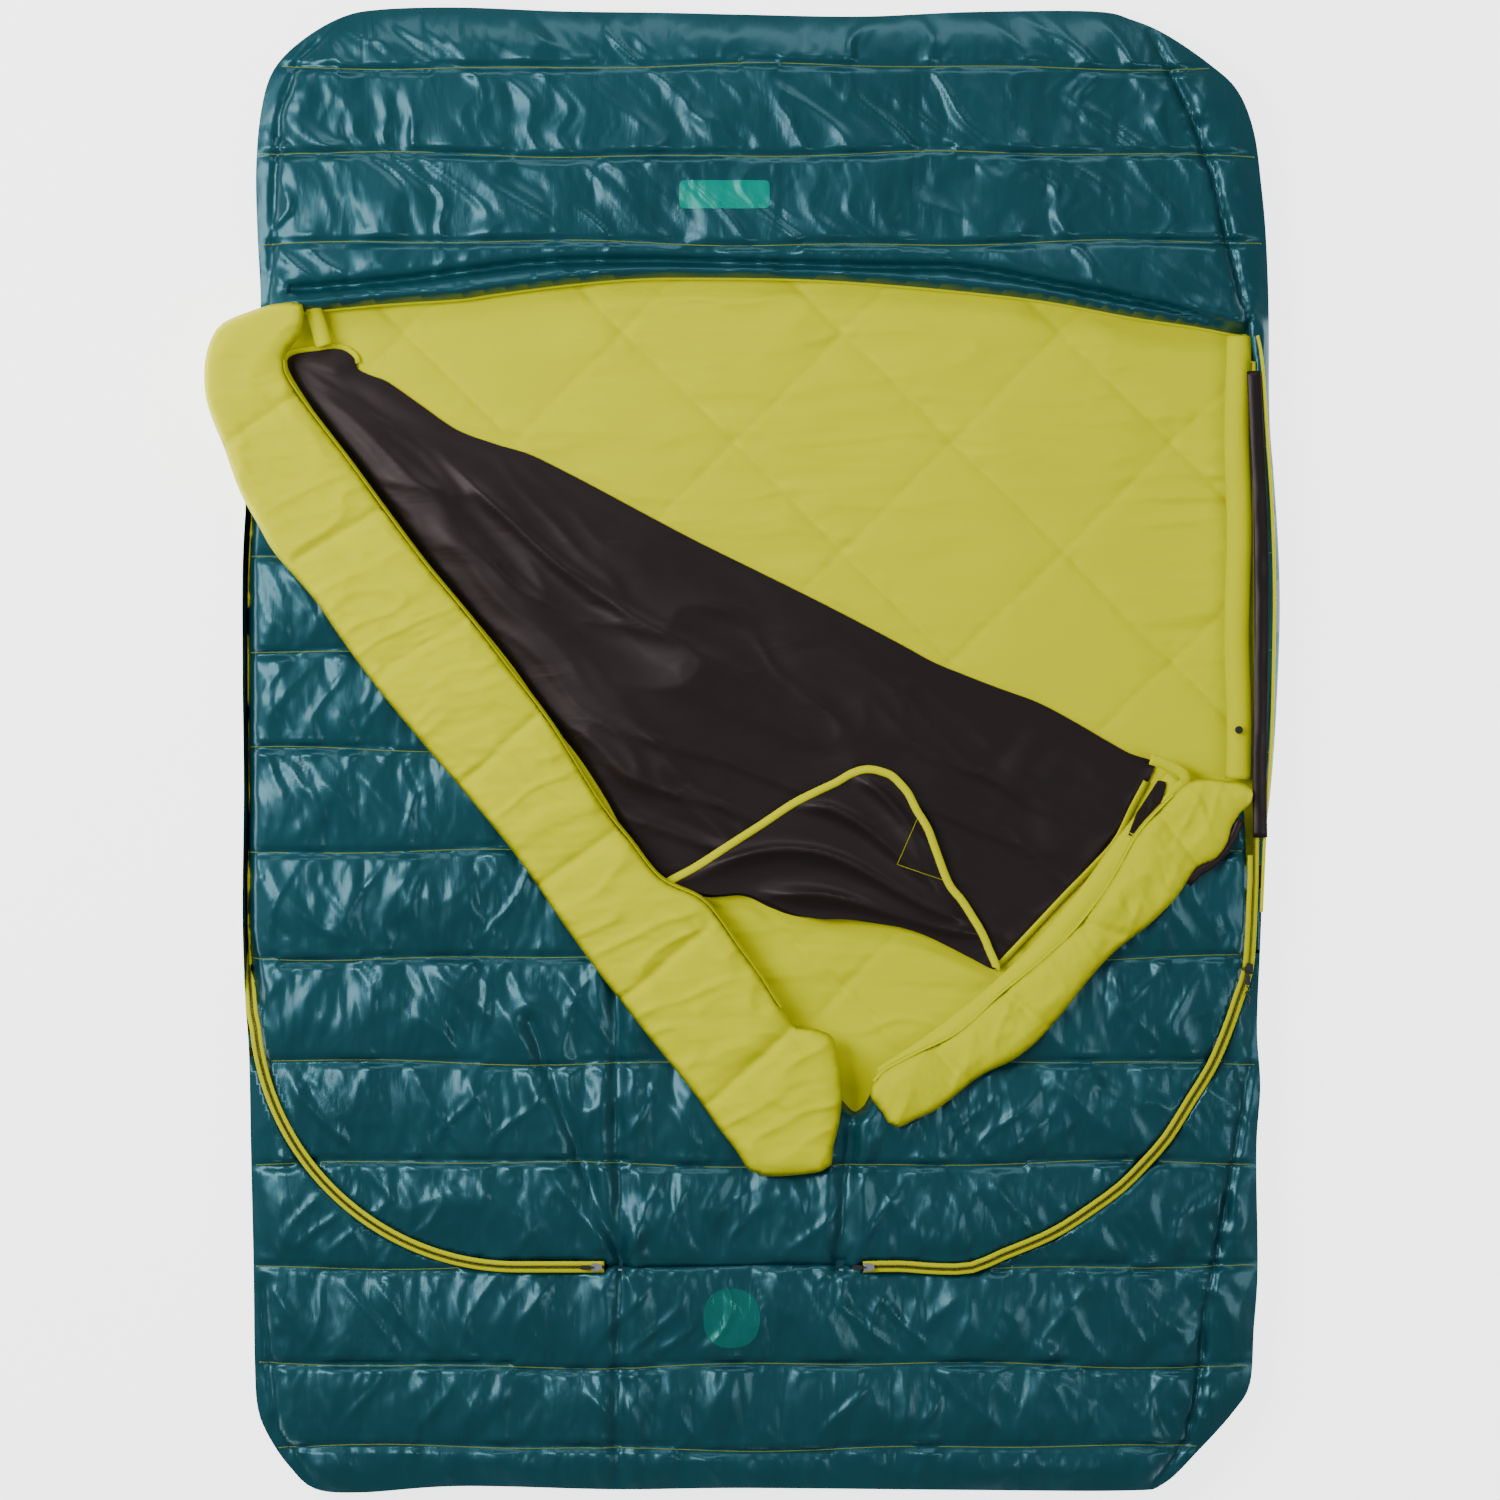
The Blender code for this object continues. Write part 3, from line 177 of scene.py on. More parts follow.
def folds(x, y, angle, length, width, seed, sharp=1.6):
    """Ridges that run along angle (degrees), each about length long and width apart, from 0 to 1."""
    a = math.radians(angle)
    bend_x = x + 0.35 * width * noise(x / width / 2.2, y / width / 2.2, seed + 5)
    bend_y = y + 0.35 * width * noise(x / width / 2.2, y / width / 2.2, seed + 9)
    along = bend_x * math.cos(a) + bend_y * math.sin(a)
    across = bend_y * math.cos(a) - bend_x * math.sin(a)
    return ridge(noise(along / length, across / width, seed), 1.6, sharp)


def smooth(t):
    t = np.clip(t, 0, 1)
    return t * t * (3 - 2 * t)


def bell(gap, width):
    """1 on a line, falling off with the gap to it."""
    return np.exp(-(gap / width) ** 2)


def ridge(value, narrow, sharp):
    """A crest where value crosses zero, from 0 to 1."""
    return np.clip(1 - np.abs(value) * narrow, 0, 1) ** sharp


def level(z):
    """The height function of a flat strip."""
    return lambda x, y: np.full(len(x), z)


def curve(points, closed=True, step=0.012):
    """A smooth line through points, as evenly spaced rows of x and y."""
    p = np.array(points, float)
    n = len(p)
    out = []
    for k in range(n if closed else n - 1):
        before = p[(k - 1) % n] if closed or k else p[0]
        after = p[(k + 2) % n] if closed or k + 2 < n else p[-1]
        a, b = p[k], p[(k + 1) % n]
        count = max(1, int(np.hypot(*(b - a)) / step))
        t = (np.arange(count) / count)[:, None]
        out.append(
            0.5 * (2 * a + (b - before) * t + (2 * before - 5 * a + 4 * b - after) * t**2
                   + (3 * a - before - 3 * b + after) * t**3)
        )
    if not closed:
        out.append(p[-1:])
    return np.concatenate(out)


def nearest(x, y, loop, closed=True):
    """Distance to a line, and the nearest point's x and y."""
    best = np.full(len(x), 9.0)
    px, py = np.zeros(len(x)), np.zeros(len(x))
    ends = np.roll(loop, -1, 0) if closed else loop[1:]
    for a, b in zip(loop, ends):
        run = b - a
        t = np.clip(((x - a[0]) * run[0] + (y - a[1]) * run[1]) / max(run @ run, 1e-12), 0, 1)
        cx, cy = a[0] + run[0] * t, a[1] + run[1] * t
        d = np.hypot(x - cx, y - cy)
        closer = d < best
        best, px, py = np.where(closer, d, best), np.where(closer, cx, px), np.where(closer, cy, py)
    return best, px, py


def gap_to(x, y, line, closed=True):
    """Distance to a line."""
    return nearest(x, y, np.asarray(line, float), closed)[0]


def within(x, y, loop):
    """Whether each point is inside a closed line."""
    odd = np.zeros(len(x), bool)
    for a, b in zip(loop, np.roll(loop, -1, 0)):
        crosses = (a[1] > y) != (b[1] > y)
        with np.errstate(divide="ignore", invalid="ignore"):
            odd ^= crosses & (x < (b[0] - a[0]) * (y - a[1]) / (b[1] - a[1]) + a[0])
    return odd


def lefts(line):
    """Unit vectors to the left of an open line's direction, at each of its points."""
    run = np.gradient(line, axis=0)
    run /= np.maximum(np.hypot(run[:, 0], run[:, 1]), 1e-9)[:, None]
    return np.stack([-run[:, 1], run[:, 0]], 1)


# ---- meshes

def mesh_object(name, verts, faces, shade=True):
    mesh = bpy.data.meshes.new(name)
    mesh.from_pydata(np.asarray(verts).tolist(), [], [tuple(int(i) for i in f) for f in faces])
    mesh.validate()
    if shade:
        mesh.shade_smooth()
    made = bpy.data.objects.new(name, mesh)
    bpy.context.scene.collection.objects.link(made)
    return made


def quads(rows, count, ring=True):
    """Faces between rows of count points each, with every row closed into a ring or left open."""
    return [(r * count + k, r * count + (k + 1) % count, (r + 1) * count + (k + 1) % count,
             (r + 1) * count + k) for r in range(rows - 1) for k in range(count if ring else count - 1)]


def panel(name, loop, step, height, holes=(), under=None, skirt=None):
    """Cloth over the inside of a plan outline. height(x, y, d) is its top, with d the distance from the edge.
    under(x, y, d) closes it below; skirt hangs its holes' edges down to that height."""
    low, high = loop.min(0) - step, loop.max(0) + step
    nx, ny = int((high[0] - low[0]) / step) + 1, int((high[1] - low[1]) / step) + 1
    gx, gy = np.meshgrid(low[0] + np.arange(nx) * step, low[1] + np.arange(ny) * step)
    x, y = gx.ravel(), gy.ravel()
    keep = within(x, y, loop)
    for hole in holes:
        keep &= ~within(x, y, hole)
    keep = keep.reshape(ny, nx)
    cell = keep[:-1, :-1] & keep[:-1, 1:] & keep[1:, 1:] & keep[1:, :-1]
    index = np.arange(nx * ny).reshape(ny, nx)
    corners = index[:-1, :-1], index[:-1, 1:], index[1:, 1:], index[1:, :-1]
    faces = np.stack([corner[cell] for corner in corners], 1)
    used, faces = np.unique(faces, return_inverse=True)
    faces = faces.reshape(-1, 4)
    x, y = x[used], y[used]
    # sides that belong to one face only are the rim; each of its points moves out onto the nearest edge line
    sides = np.concatenate([faces[:, [k, (k + 1) % 4]] for k in range(4)])
    tag = sides.min(1).astype(np.int64) * len(x) + sides.max(1)
    _, first, count = np.unique(tag, return_index=True, return_counts=True)
    rim_sides = sides[first[count == 1]]
    rim = np.unique(rim_sides)
    d, ex, ey = nearest(x, y, loop)
    for hole in holes:
        d2, ex2, ey2 = nearest(x, y, hole)
        ex, ey, d = np.where(d2 < d, ex2, ex), np.where(d2 < d, ey2, ey), np.minimum(d, d2)
    x[rim], y[rim], d[rim] = ex[rim], ey[rim], 0
    outer_d = gap_to(x, y, loop) if holes else d
    z = height(x, y, d)
    verts = np.stack([x, y, z], 1)
    if under is not None:
        low_z = under(x, y, d)
        inner_points = np.setdiff1d(np.arange(len(x)), rim)
        place = np.arange(len(x))
        place[inner_points] = len(x) + np.arange(len(inner_points))
        verts = np.concatenate([verts, np.stack([x, y, low_z], 1)[inner_points]])
        faces = np.concatenate([faces, place[faces][:, ::-1]])
    elif skirt is not None:
        inner_rim = rim[outer_d[rim] > 1e-4]
        place = {int(v): len(verts) + n for n, v in enumerate(inner_rim)}
        hung = verts[inner_rim].copy()
        hung[:, 2] = skirt
        verts = np.concatenate([verts, hung])
        extra = [(b, a, place[a], place[b]) for a, b in rim_sides.tolist() if a in place and b in place]
        if extra:
            faces = np.concatenate([faces, np.array(extra)])
    return mesh_object(name, verts, faces)


def ribbon(name, line, width, z_of, thick, shift=0.0, puff=0.0):
    """A flat strip along a plan line, its middle shifted to the line's left."""
    p = np.asarray(line, float)
    left = lefts(p)
    stations = [(-0.5, 0.0), (-0.42, 1.0), (0.0, 1.0 + puff), (0.42, 1.0), (0.5, 0.0)]
    rows = []
    for across, up in stations:
        at = p + left * (shift + across * width)
        z = z_of(at[:, 0], at[:, 1])
        rows.append(np.stack([at[:, 0], at[:, 1], z + thick * up], 1))
    for across in (0.5, -0.5):
        at = p + left * (shift + across * width)
        rows.append(np.stack([at[:, 0], at[:, 1], z_of(at[:, 0], at[:, 1]) - thick * 0.4], 1))
    verts, n, m = np.concatenate(rows), len(p), len(rows)
    faces = [(r * n + k, r * n + k + 1, (r + 1) % m * n + k + 1, (r + 1) % m * n + k)
             for k in range(n - 1) for r in range(m)]
    faces.append(tuple(r * n for r in range(m)))
    faces.append(tuple(r * n + n - 1 for r in reversed(range(m))))
    return mesh_object(name, verts, faces)


def cable(name, points, radius, sides=6, bumps=None):
    """A round line through 3-D points; bumps scales its radius at each."""
    p = np.asarray(points, float)
    run = np.gradient(p, axis=0)
    run /= np.maximum(np.linalg.norm(run, axis=1), 1e-9)[:, None]
    up = np.tile([0.0, 0.0, 1.0], (len(p), 1))
    side = np.cross(run, up)
    side /= np.maximum(np.linalg.norm(side, axis=1), 1e-9)[:, None]
    up = np.cross(side, run)
    r = radius * (np.ones(len(p)) if bumps is None else bumps)
    rings = [p + (side * math.cos(a) + up * math.sin(a)) * r[:, None]
             for a in (2 * math.pi * k / sides for k in range(sides))]
    verts = np.stack(rings, 1).reshape(-1, 3)
    faces = quads(len(p), sides)
    faces.append(tuple(range(sides))[::-1])
    faces.append(tuple((len(p) - 1) * sides + q for q in range(sides)))
    return mesh_object(name, verts, faces)


def merged(name, parts):
    """Several objects made one."""
    if len(parts) > 1:
        with bpy.context.temp_override(
            active_object=parts[0], object=parts[0], selected_objects=parts, selected_editable_objects=parts
        ):
            bpy.ops.object.join()
    parts[0].name = name
    parts[0].data.name = name
    return parts[0]


# ---- materials

def fill(node, values):
    """Sets a node's inputs by name."""
    for socket, value in values.items():
        node.inputs[socket].default_value = value
    return node


def paint(obj, look):
    """Gives a piece one material."""
    obj.data.materials.clear()
    obj.data.materials.append(look)


def material(name, colour, rough, coat=0.0, coat_rough=0.2, metal=0.0, specular=0.5, tint=(1, 1, 1),
             scales=((60, 0.3, 0.002),), stretch=(1, 1, 1), turn=0.0, weave=0.0, mottle=0.12):
    """A procedural surface: mottled colour and roughness, and bumps from one or more noises.
    scales gives each noise's scale, bump strength and bump distance; weave is the scale of a woven grain."""
    made = bpy.data.materials.new(name)
    made.use_nodes = True
    nodes, links = made.node_tree.nodes, made.node_tree.links
    shader = nodes["Principled BSDF"]

    def add(kind, values):
        return fill(nodes.new("ShaderNode" + kind), values)

    fill(shader, {"Metallic": metal, "Specular IOR Level": specular, "Specular Tint": (*tint, 1),
                  "Coat Weight": coat, "Coat Roughness": coat_rough})
    place = nodes.new("ShaderNodeTexCoord")
    mapping = add("Mapping", {"Scale": stretch, "Rotation": (0, 0, math.radians(turn))})
    links.new(place.outputs["Object"], mapping.inputs["Vector"])
    blotch = add("TexNoise", {"Scale": 6.0, "Detail": 4.0})
    links.new(place.outputs["Object"], blotch.inputs["Vector"])
    mix = nodes.new("ShaderNodeMix")
    mix.data_type = "RGBA"
    fill(mix, {"A": (*[c * (1 - mottle) for c in colour], 1),
               "B": (*[min(1, c * (1 + mottle)) for c in colour], 1)})
    links.new(blotch.outputs["Fac"], mix.inputs["Factor"])
    links.new(mix.outputs["Result"], shader.inputs["Base Color"])
    spread = add("MapRange", {"To Min": max(0.02, rough - 0.06), "To Max": rough + 0.06})
    links.new(blotch.outputs["Fac"], spread.inputs["Value"])
    links.new(spread.outputs["Result"], shader.inputs["Roughness"])
    normal = None

    def bumped(height, strength, distance):
        bump = add("Bump", {"Strength": strength, "Distance": distance})
        links.new(height, bump.inputs["Height"])
        if normal:
            links.new(normal, bump.inputs["Normal"])
        return bump.outputs["Normal"]

    for scale, strength, distance in scales:
        grain = add("TexNoise", {"Scale": scale, "Detail": 3.0, "Distortion": 0.6})
        links.new(mapping.outputs["Vector"], grain.inputs["Vector"])
        normal = bumped(grain.outputs["Fac"], strength, distance)
    for direction in ("X", "Y") if weave else ():
        wave = add("TexWave", {"Scale": weave})
        wave.bands_direction = direction
        links.new(place.outputs["Object"], wave.inputs["Vector"])
        normal = bumped(wave.outputs["Fac"], 0.12, 0.0003)
    links.new(normal, shader.inputs["Normal"])
    return made


shell_look = material(
    "shell_nylon", (0.006, 0.0495, 0.0625), 0.32, specular=0.62, tint=(0.3, 0.8, 1.0), coat=0.1,
    coat_rough=0.14, scales=((7, 0.24, 0.012), (26, 0.2, 0.003), (80, 0.12, 0.001)), stretch=(2.4, 0.75, 1),
    turn=30, mottle=0.22,
)
lime_look = material(
    "lime_taffeta", (0.69, 0.69, 0.0), 0.6, specular=0.15, tint=(1, 1, 0),
    scales=((14, 0.2, 0.006), (300, 0.1, 0.0006)), stretch=(0.7, 1.6, 1), mottle=0.03,
)
satin_look = material(
    "brown_satin", (0.01, 0.0063, 0.0067), 0.4, specular=0.32, tint=(1.0, 0.85, 0.85),
    scales=((10, 0.3, 0.006), (420, 0.1, 0.0004)), stretch=(0.6, 1.5, 1), turn=26, mottle=0.1,
)
tape_look = material(
    "lime_tape", (0.6, 0.6, 0.0), 0.6, specular=0.15, tint=(1, 1, 0), scales=((500, 0.3, 0.0005),),
    weave=140, mottle=0.05,
)
coil_look = material("zip_coil_nylon", (0.085, 0.085, 0.002), 0.38, scales=((300, 0.2, 0.0003),), mottle=0.1)
thread_look = material("seam_thread", (0.17, 0.24, 0.05), 0.6, specular=0.2, scales=((900, 0.4, 0.0003),),
                       mottle=0.25)
lime_thread_look = material("lime_thread", (0.33, 0.32, 0.0), 0.6, specular=0.2, scales=((900, 0.4, 0.0003),),
                            mottle=0.15)
metal_look = material(
    "slider_grey_metal", (0.42, 0.425, 0.44), 0.36, metal=0.9, scales=((260, 0.3, 0.0003),), mottle=0.2,
)
pull_look = material(
    "pull_dark_metal", (0.05, 0.051, 0.056), 0.4, metal=0.8, scales=((260, 0.3, 0.0003),), mottle=0.2,
)
black_look = material("black_trim", (0.006, 0.006, 0.0065), 0.5, scales=((500, 0.4, 0.0004),), mottle=0.2)
patch_look = material(
    "patch_ink", (0.002, 0.26, 0.2), 0.3, tint=(0.3, 1, 0.9), scales=((9, 0.45, 0.008), (38, 0.3, 0.002)),
    stretch=(1.6, 0.8, 1), turn=28, mottle=0.08,
)
emblem_look = material(
    "emblem_ink", (0.001, 0.115, 0.105), 0.26, tint=(0.3, 1, 0.9),
    scales=((7, 0.26, 0.012), (26, 0.34, 0.003)),
    stretch=(2.4, 0.75, 1), turn=30, mottle=0.1,
)


# ---- the line that the sheet is peeled back along, and its direction towards the foot
sheet_fold = next(j for j in frame["record"]["behaviour"]["joints"] if j["name"] == "sheet_fold")
fold_at = Vector(sheet_fold["pos_m"])
fold_across = Vector(sheet_fold["axis"]).cross(Vector((0, 0, 1))).normalized()


def dress(obj, look, body, slot, *nodes):
    """Gives a piece its material and its body, and hides the CAD nodes it stands for; slot is not used.
    A piece on the sheet rides on no body; its transform is baked in."""
    paint(obj, look)
    if body == "sheet":
        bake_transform(obj)
    else:
        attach(obj, body)
    if nodes:
        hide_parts(*nodes)
    return obj


def strip(name, line, width, z_of, thick, look, body, slot, *nodes, shift=0.0, puff=0.0):
    """A ribbon, dressed."""
    return dress(ribbon(name, line, width, z_of, thick, shift, puff), look, body, slot, *nodes)


# ---- the shell's cloth: one sheet pinned along its seams and the bag's edge, grown a little and blown up

GRID = 0.0085
GX0, GX1, GY0, GY1 = -0.8, 0.85, -1.17, 1.17
gnx, gny = int((GX1 - GX0) / GRID) + 1, int((GY1 - GY0) / GRID) + 1
cloth_x, cloth_y = np.meshgrid(GX0 + np.arange(gnx) * GRID, GY0 + np.arange(gny) * GRID)


def seam_y(y, x):
    """A seam's gentle wander."""
    return y + 0.0035 * np.sin(x * 6.1 + y * 13) + 0.0022 * np.sin(x * 15.7 + y * 31)


ALL_SEAMS = BODY_SEAMS + HOOD_SEAMS
GROWTH_X, GROWTH_Y, PRESSURE, MOMENTS = 1.075, 1.11, 70, 28


def blown_cloth():
    """Heights of the shell's cloth above its seams, from a short pressure simulation."""
    start = (
        0.003 * noise(cloth_x * 21, cloth_y * 16, 3) + 0.002 * noise(cloth_x * 45, cloth_y * 30, 8)
        + 0.002 * folds(cloth_x, cloth_y, -62, 0.2, 0.05, 4)
    )
    pinned = np.zeros(cloth_x.shape, bool)
    pinned[0] = pinned[-1] = pinned[:, 0] = pinned[:, -1] = True
    columns = np.arange(gnx)
    for y in ALL_SEAMS:
        row = np.argmin(np.abs(cloth_y - seam_y(y, cloth_x)), 0)
        pinned[row, columns] = True
    flat = np.stack([cloth_x, cloth_y, 0.004 + start], 2)
    flat[pinned, 2] = 0
    index = np.arange(gnx * gny).reshape(gny, gnx)
    faces = np.stack([index[:-1, :-1], index[:-1, 1:], index[1:, 1:], index[1:, :-1]], 2).reshape(-1, 4)
    cloth = mesh_object("cloth_scratch", flat.reshape(-1, 3), faces)
    cloth.shape_key_add(name="Basis")
    rest = cloth.shape_key_add(name="rest")
    grown = flat.copy()
    in_hood = smooth((cloth_y - 0.6) / 0.08)
    lean = 0.5 * in_hood + 0.35 * noise(cloth_x * 2.3, cloth_y * 6.3, 12) * (1 - in_hood)
    grown[..., 0] = cloth_x * GROWTH_X + np.cumsum(lean, 0) * GRID
    grown[..., 1] *= GROWTH_Y
    rest.data.foreach_set("co", grown.ravel())
    rest.value = 0
    group = cloth.vertex_groups.new(name="pin")
    group.add([int(i) for i in index[pinned]], 1.0, "REPLACE")
    modifier = cloth.modifiers.new("cloth", "CLOTH")
    settings = modifier.settings
    settings.quality, settings.mass, settings.air_damping = 4, 0.1, 2
    settings.tension_stiffness = settings.compression_stiffness = 20
    settings.shear_stiffness, settings.bending_stiffness = 12, 1.0
    settings.tension_damping = settings.compression_damping = settings.shear_damping = 5
    settings.vertex_group_mass, settings.pin_stiffness, settings.rest_shape_key = "pin", 1, rest
    settings.use_pressure, settings.uniform_pressure_force = True, PRESSURE
    settings.effector_weights.gravity = 0
    modifier.collision_settings.use_collision = False
    modifier.collision_settings.use_self_collision = False
    modifier.point_cache.frame_start, modifier.point_cache.frame_end = 1, MOMENTS
    for moment in range(1, MOMENTS + 1):
        bpy.context.scene.frame_set(moment)
    shape = cloth.evaluated_get(bpy.context.evaluated_depsgraph_get())
    out = np.empty(gnx * gny * 3, np.float32)
    shape.to_mesh().vertices.foreach_get("co", out)
    bpy.context.scene.frame_set(1)
    bpy.data.objects.remove(cloth, do_unlink=True)
    return out.reshape(gny, gnx, 3)[..., 2].astype(float)


puffed = blown_cloth()


def sampled(field, x, y):
    """A grid field read at any points, smoothly."""
    fx = np.clip((x - GX0) / GRID, 1, gnx - 2.001)
    fy = np.clip((y - GY0) / GRID, 1, gny - 2.001)
    i, j = fx.astype(int), fy.astype(int)
    u, v = fx - i, fy - j

    def weights(t):
        return (-0.5 * t + t**2 - 0.5 * t**3, 1 - 2.5 * t**2 + 1.5 * t**3,
                0.5 * t + 2 * t**2 - 1.5 * t**3, -0.5 * t**2 + 0.5 * t**3)

    total = np.zeros(len(x))
    for m, wy in enumerate(weights(v)):
        for n, wx in enumerate(weights(u)):
            total += wy * wx * field[np.clip(j + m - 1, 0, gny - 1), np.clip(i + n - 1, 0, gnx - 1)]
    return total


outer = curve(OUTER)


def seam_gap(x, y):
    """Distance to the nearest seam across the bag."""
    best = np.full(len(x), 9.0)
    for seam in ALL_SEAMS:
        best = np.minimum(best, np.abs(y - seam_y(seam, x)))
    return best


LAST_SEAM = 1.16


def channel(x, y):
    """How far up its channel, from one seam to the next, each point is: 0 to 1."""
    lines = np.array([-LAST_SEAM] + ALL_SEAMS + [LAST_SEAM])
    at = y - seam_y(0.0, x)
    k = np.clip(np.searchsorted(lines, at) - 1, 0, len(lines) - 2)
    return np.clip((at - lines[k]) / (lines[k + 1] - lines[k]), 0, 1)


def shell_top(x, y, lift=0.0):
    """The shell's height away from any edge."""
    gap = seam_gap(x, y)
    loose = smooth(gap / 0.05)
    in_hood = smooth((y - 0.66) / 0.05)
    z = SEAM_Z + (1.35 - 0.55 * in_hood) * sampled(puffed, x, y)
    flatter = 1 - np.abs(2 * channel(x, y) - 1) ** 2
    z -= (0.005 + 0.002 * in_hood) * flatter
    # the hood's long creases lean down to the right and deepen towards the seam below them
    sway = x + 0.022 * np.sin(y * 31 + x * 5) + 0.008 * np.sin(y * 67 + x * 19)
    near_seam = smooth(gap / 0.01)
    crease = folds(sway, y, -61, 0.25, 0.05, 21, 1.7) * (1.1 - 0.65 * channel(x, y))
    z += in_hood * near_seam * (0.0066 * crease + 0.0013 * folds(sway, y, -66, 0.12, 0.019, 25, 1.3))
    z += in_hood * near_seam * 0.0034 * folds(sway, y, -48, 0.16, 0.055, 23, 1.6)
    sway = x + 0.015 * np.sin(y * 23 + x * 9)
    z += (1 - in_hood) * loose * 0.0052 * (folds(sway, y, -58, 0.22, 0.055, 29, 1.5) - 0.4)
    z += (1 - in_hood) * loose * 0.0038 * (folds(sway, y, 64, 0.18, 0.04, 27, 1.6) - 0.4)
    z += (1 - in_hood) * near_seam * 0.0022 * folds(sway, y, -74, 0.09, 0.015, 33, 1.3)
    z += (1 - in_hood) * near_seam * 0.0018 * folds(x, y, 78, 0.08, 0.013, 35, 1.3) * np.exp(-gap / 0.04)
    # marks of how the bag was folded: a valley with a soft ridge on either side
    for path in FOLD_MARKS:
        mark = gap_to(x, y, path, False)
        z += 0.0055 * bell(mark - 0.026, 0.016) - 0.0065 * bell(mark, 0.01)
    for path in GUSSETS:
        sewn = gap_to(x, y, path, False)
        z -= 0.01 * bell(sewn, 0.0055) + 0.004 * bell(sewn, 0.018)
        z += 0.003 * noise(x * 55, y * 55, 37) * bell(sewn, 0.025)
    for cx, cy in GATHERS:
        far, angle = np.hypot(x - cx, y - cy), np.arctan2(y - cy, x - cx)
        z += 0.0065 * noise(angle * 2.4, far * 9, 39) * np.exp(-far / 0.055) * smooth(far / 0.012)
        z -= 0.008 * bell(far, 0.011)
    return z + lift


def edged(z, low, d, radius):
    """z rounded down to low over radius in from an edge."""
    t = np.clip(d / radius, 0, 1)
    return low + (z - low) * (1 - (1 - t) ** 1.8)


# ---- lower half: sides and top outside the zips, with the quilt's place left open

def turn(centre, radius, start, end, steps=40):
    a = np.radians(np.linspace(start, end, steps + 1))
    return np.stack([centre[0] + radius * np.cos(a), centre[1] + radius * np.sin(a)], 1)


left_zip = np.concatenate([
    np.stack([np.linspace(-0.216, LEFT_TURN[0] + 0.01, 18), np.full(18, ZIP_Y)], 1),
    turn(LEFT_TURN, LEFT_R, 270, 183)[:-1],
    [[-0.76, -0.405], [-0.772, -0.35], [-0.7835, -0.28], [-0.7835, -0.2], [-0.783, -0.05],
     [-0.784, 0.12], [-0.783, 0.3], [-0.775, 0.42], [-0.769, 0.48], [-0.76, 0.6]],
])
left_zip_shown = np.column_stack([np.maximum(left_zip[:, 0], -0.7665), left_zip[:, 1]])
right_zip = np.concatenate([
    curve(mm([(184, -798), (240, -797), (300, -801), (352, -799), (400, -779), (452, -758), (492, -738),
              (540, -706), (582, -675), (617, -640), (653, -599), (690, -540), (721, -490), (745, -435),
              (765, -378), (778, -337), (783, -270)]), closed=False, step=0.02),
    mm([(786, -200), (787, -100), (787, 50), (786, 250), (784, 450), (781, 600)]),
])


def moved(line, distance):
    """An open plan line shifted to its left."""
    return line + lefts(line) * distance


ZIP_HALF = 0.008
mouth = curve(MOUTH, closed=False)
middle_x = np.linspace(-0.206, 0.174, 64)
middle = np.stack([middle_x, seam_y(ZIP_Y, middle_x)], 1)
hole = np.concatenate([
    moved(left_zip, ZIP_HALF)[::-1], middle, moved(right_zip, -ZIP_HALF),
    [[0.772, 0.7]], mouth[::-1][2:-2] + [0, 0.03], [[-0.74, 0.66]],
])
base_loop = outer[outer[:, 1] < 0.72]
top_at = int(np.argmax(np.hypot(*(np.roll(base_loop, -1, 0) - base_loop).T)))
base_loop = np.roll(base_loop, -top_at - 1, 0)


def zip_gap(x, y):
    """Distance to the nearer zip's edge."""
    return np.minimum(gap_to(x, y, left_zip, False), gap_to(x, y, right_zip, False)) - ZIP_HALF


def zip_z(x, y):
    """The zips' height: the left one drops under the bag's side above its turn."""
    return ZIP_Z - (ZIP_Z - 0.027) * smooth((y + 0.44) / 0.15) * (x < -0.5)


def tape_z(x, y):
    """The tapes' height: above its turn the left zip is tucked under the quilt's edge."""
    return zip_z(x, y) - 0.007 * smooth((y + 0.36) / 0.06) * (x < -0.5)


def base_height(x, y, d):
    away = gap_to(x, y, outer)
    # beside the opening the wall stands up to the zip, with little rounding
    wall = smooth((x - 0.74) / 0.02) * smooth((y + 0.3) / 0.08) * smooth((0.69 - y) / 0.05)
    top = shell_top(x, y) * (1 - wall) + (ZIP_Z - 0.0015) * wall
    z = edged(top, EDGE_Z, away, 0.05 - 0.036 * wall)
    near_zip = smooth(zip_gap(x, y) / 0.03)
    return np.minimum(z, z * near_zip + (zip_z(x, y) - 0.001) * (1 - near_zip))


base_top = panel("shell_footbox_and_sides", base_loop, 0.005, base_height, holes=[hole], skirt=LINER_Z)
dress(base_top, shell_look, "base", "shell_fabric", "footbox_shell", "footbox_insulation", "left_gusset",
      "right_gusset", "foot_gusset", "right_side_panel")

# ---- the shell under it all, from the widest line down to the ground
WALL = [(0.0, EDGE_Z), (-0.0006, 0.052), (-0.0008, 0.04), (0.0002, 0.028), (0.003, 0.017), (0.008, 0.008),
        (0.016, 0.003), (0.028, 0.0005)]
steps = np.linspace(0, len(WALL) - 1, 24)
insets = np.interp(steps, range(len(WALL)), [inset for inset, _ in WALL])
levels = np.interp(steps, range(len(WALL)), [z for _, z in WALL])
arc = np.cumsum(np.hypot(*(outer - np.roll(outer, 1, 0)).T))
inwards = np.roll(outer, -1, 0) - np.roll(outer, 1, 0)
inwards = np.stack([-inwards[:, 1], inwards[:, 0]], 1) / np.hypot(inwards[:, 0], inwards[:, 1])[:, None]
join = smooth(np.minimum(arc, arc[-1] - arc) / 0.1)
ground = []
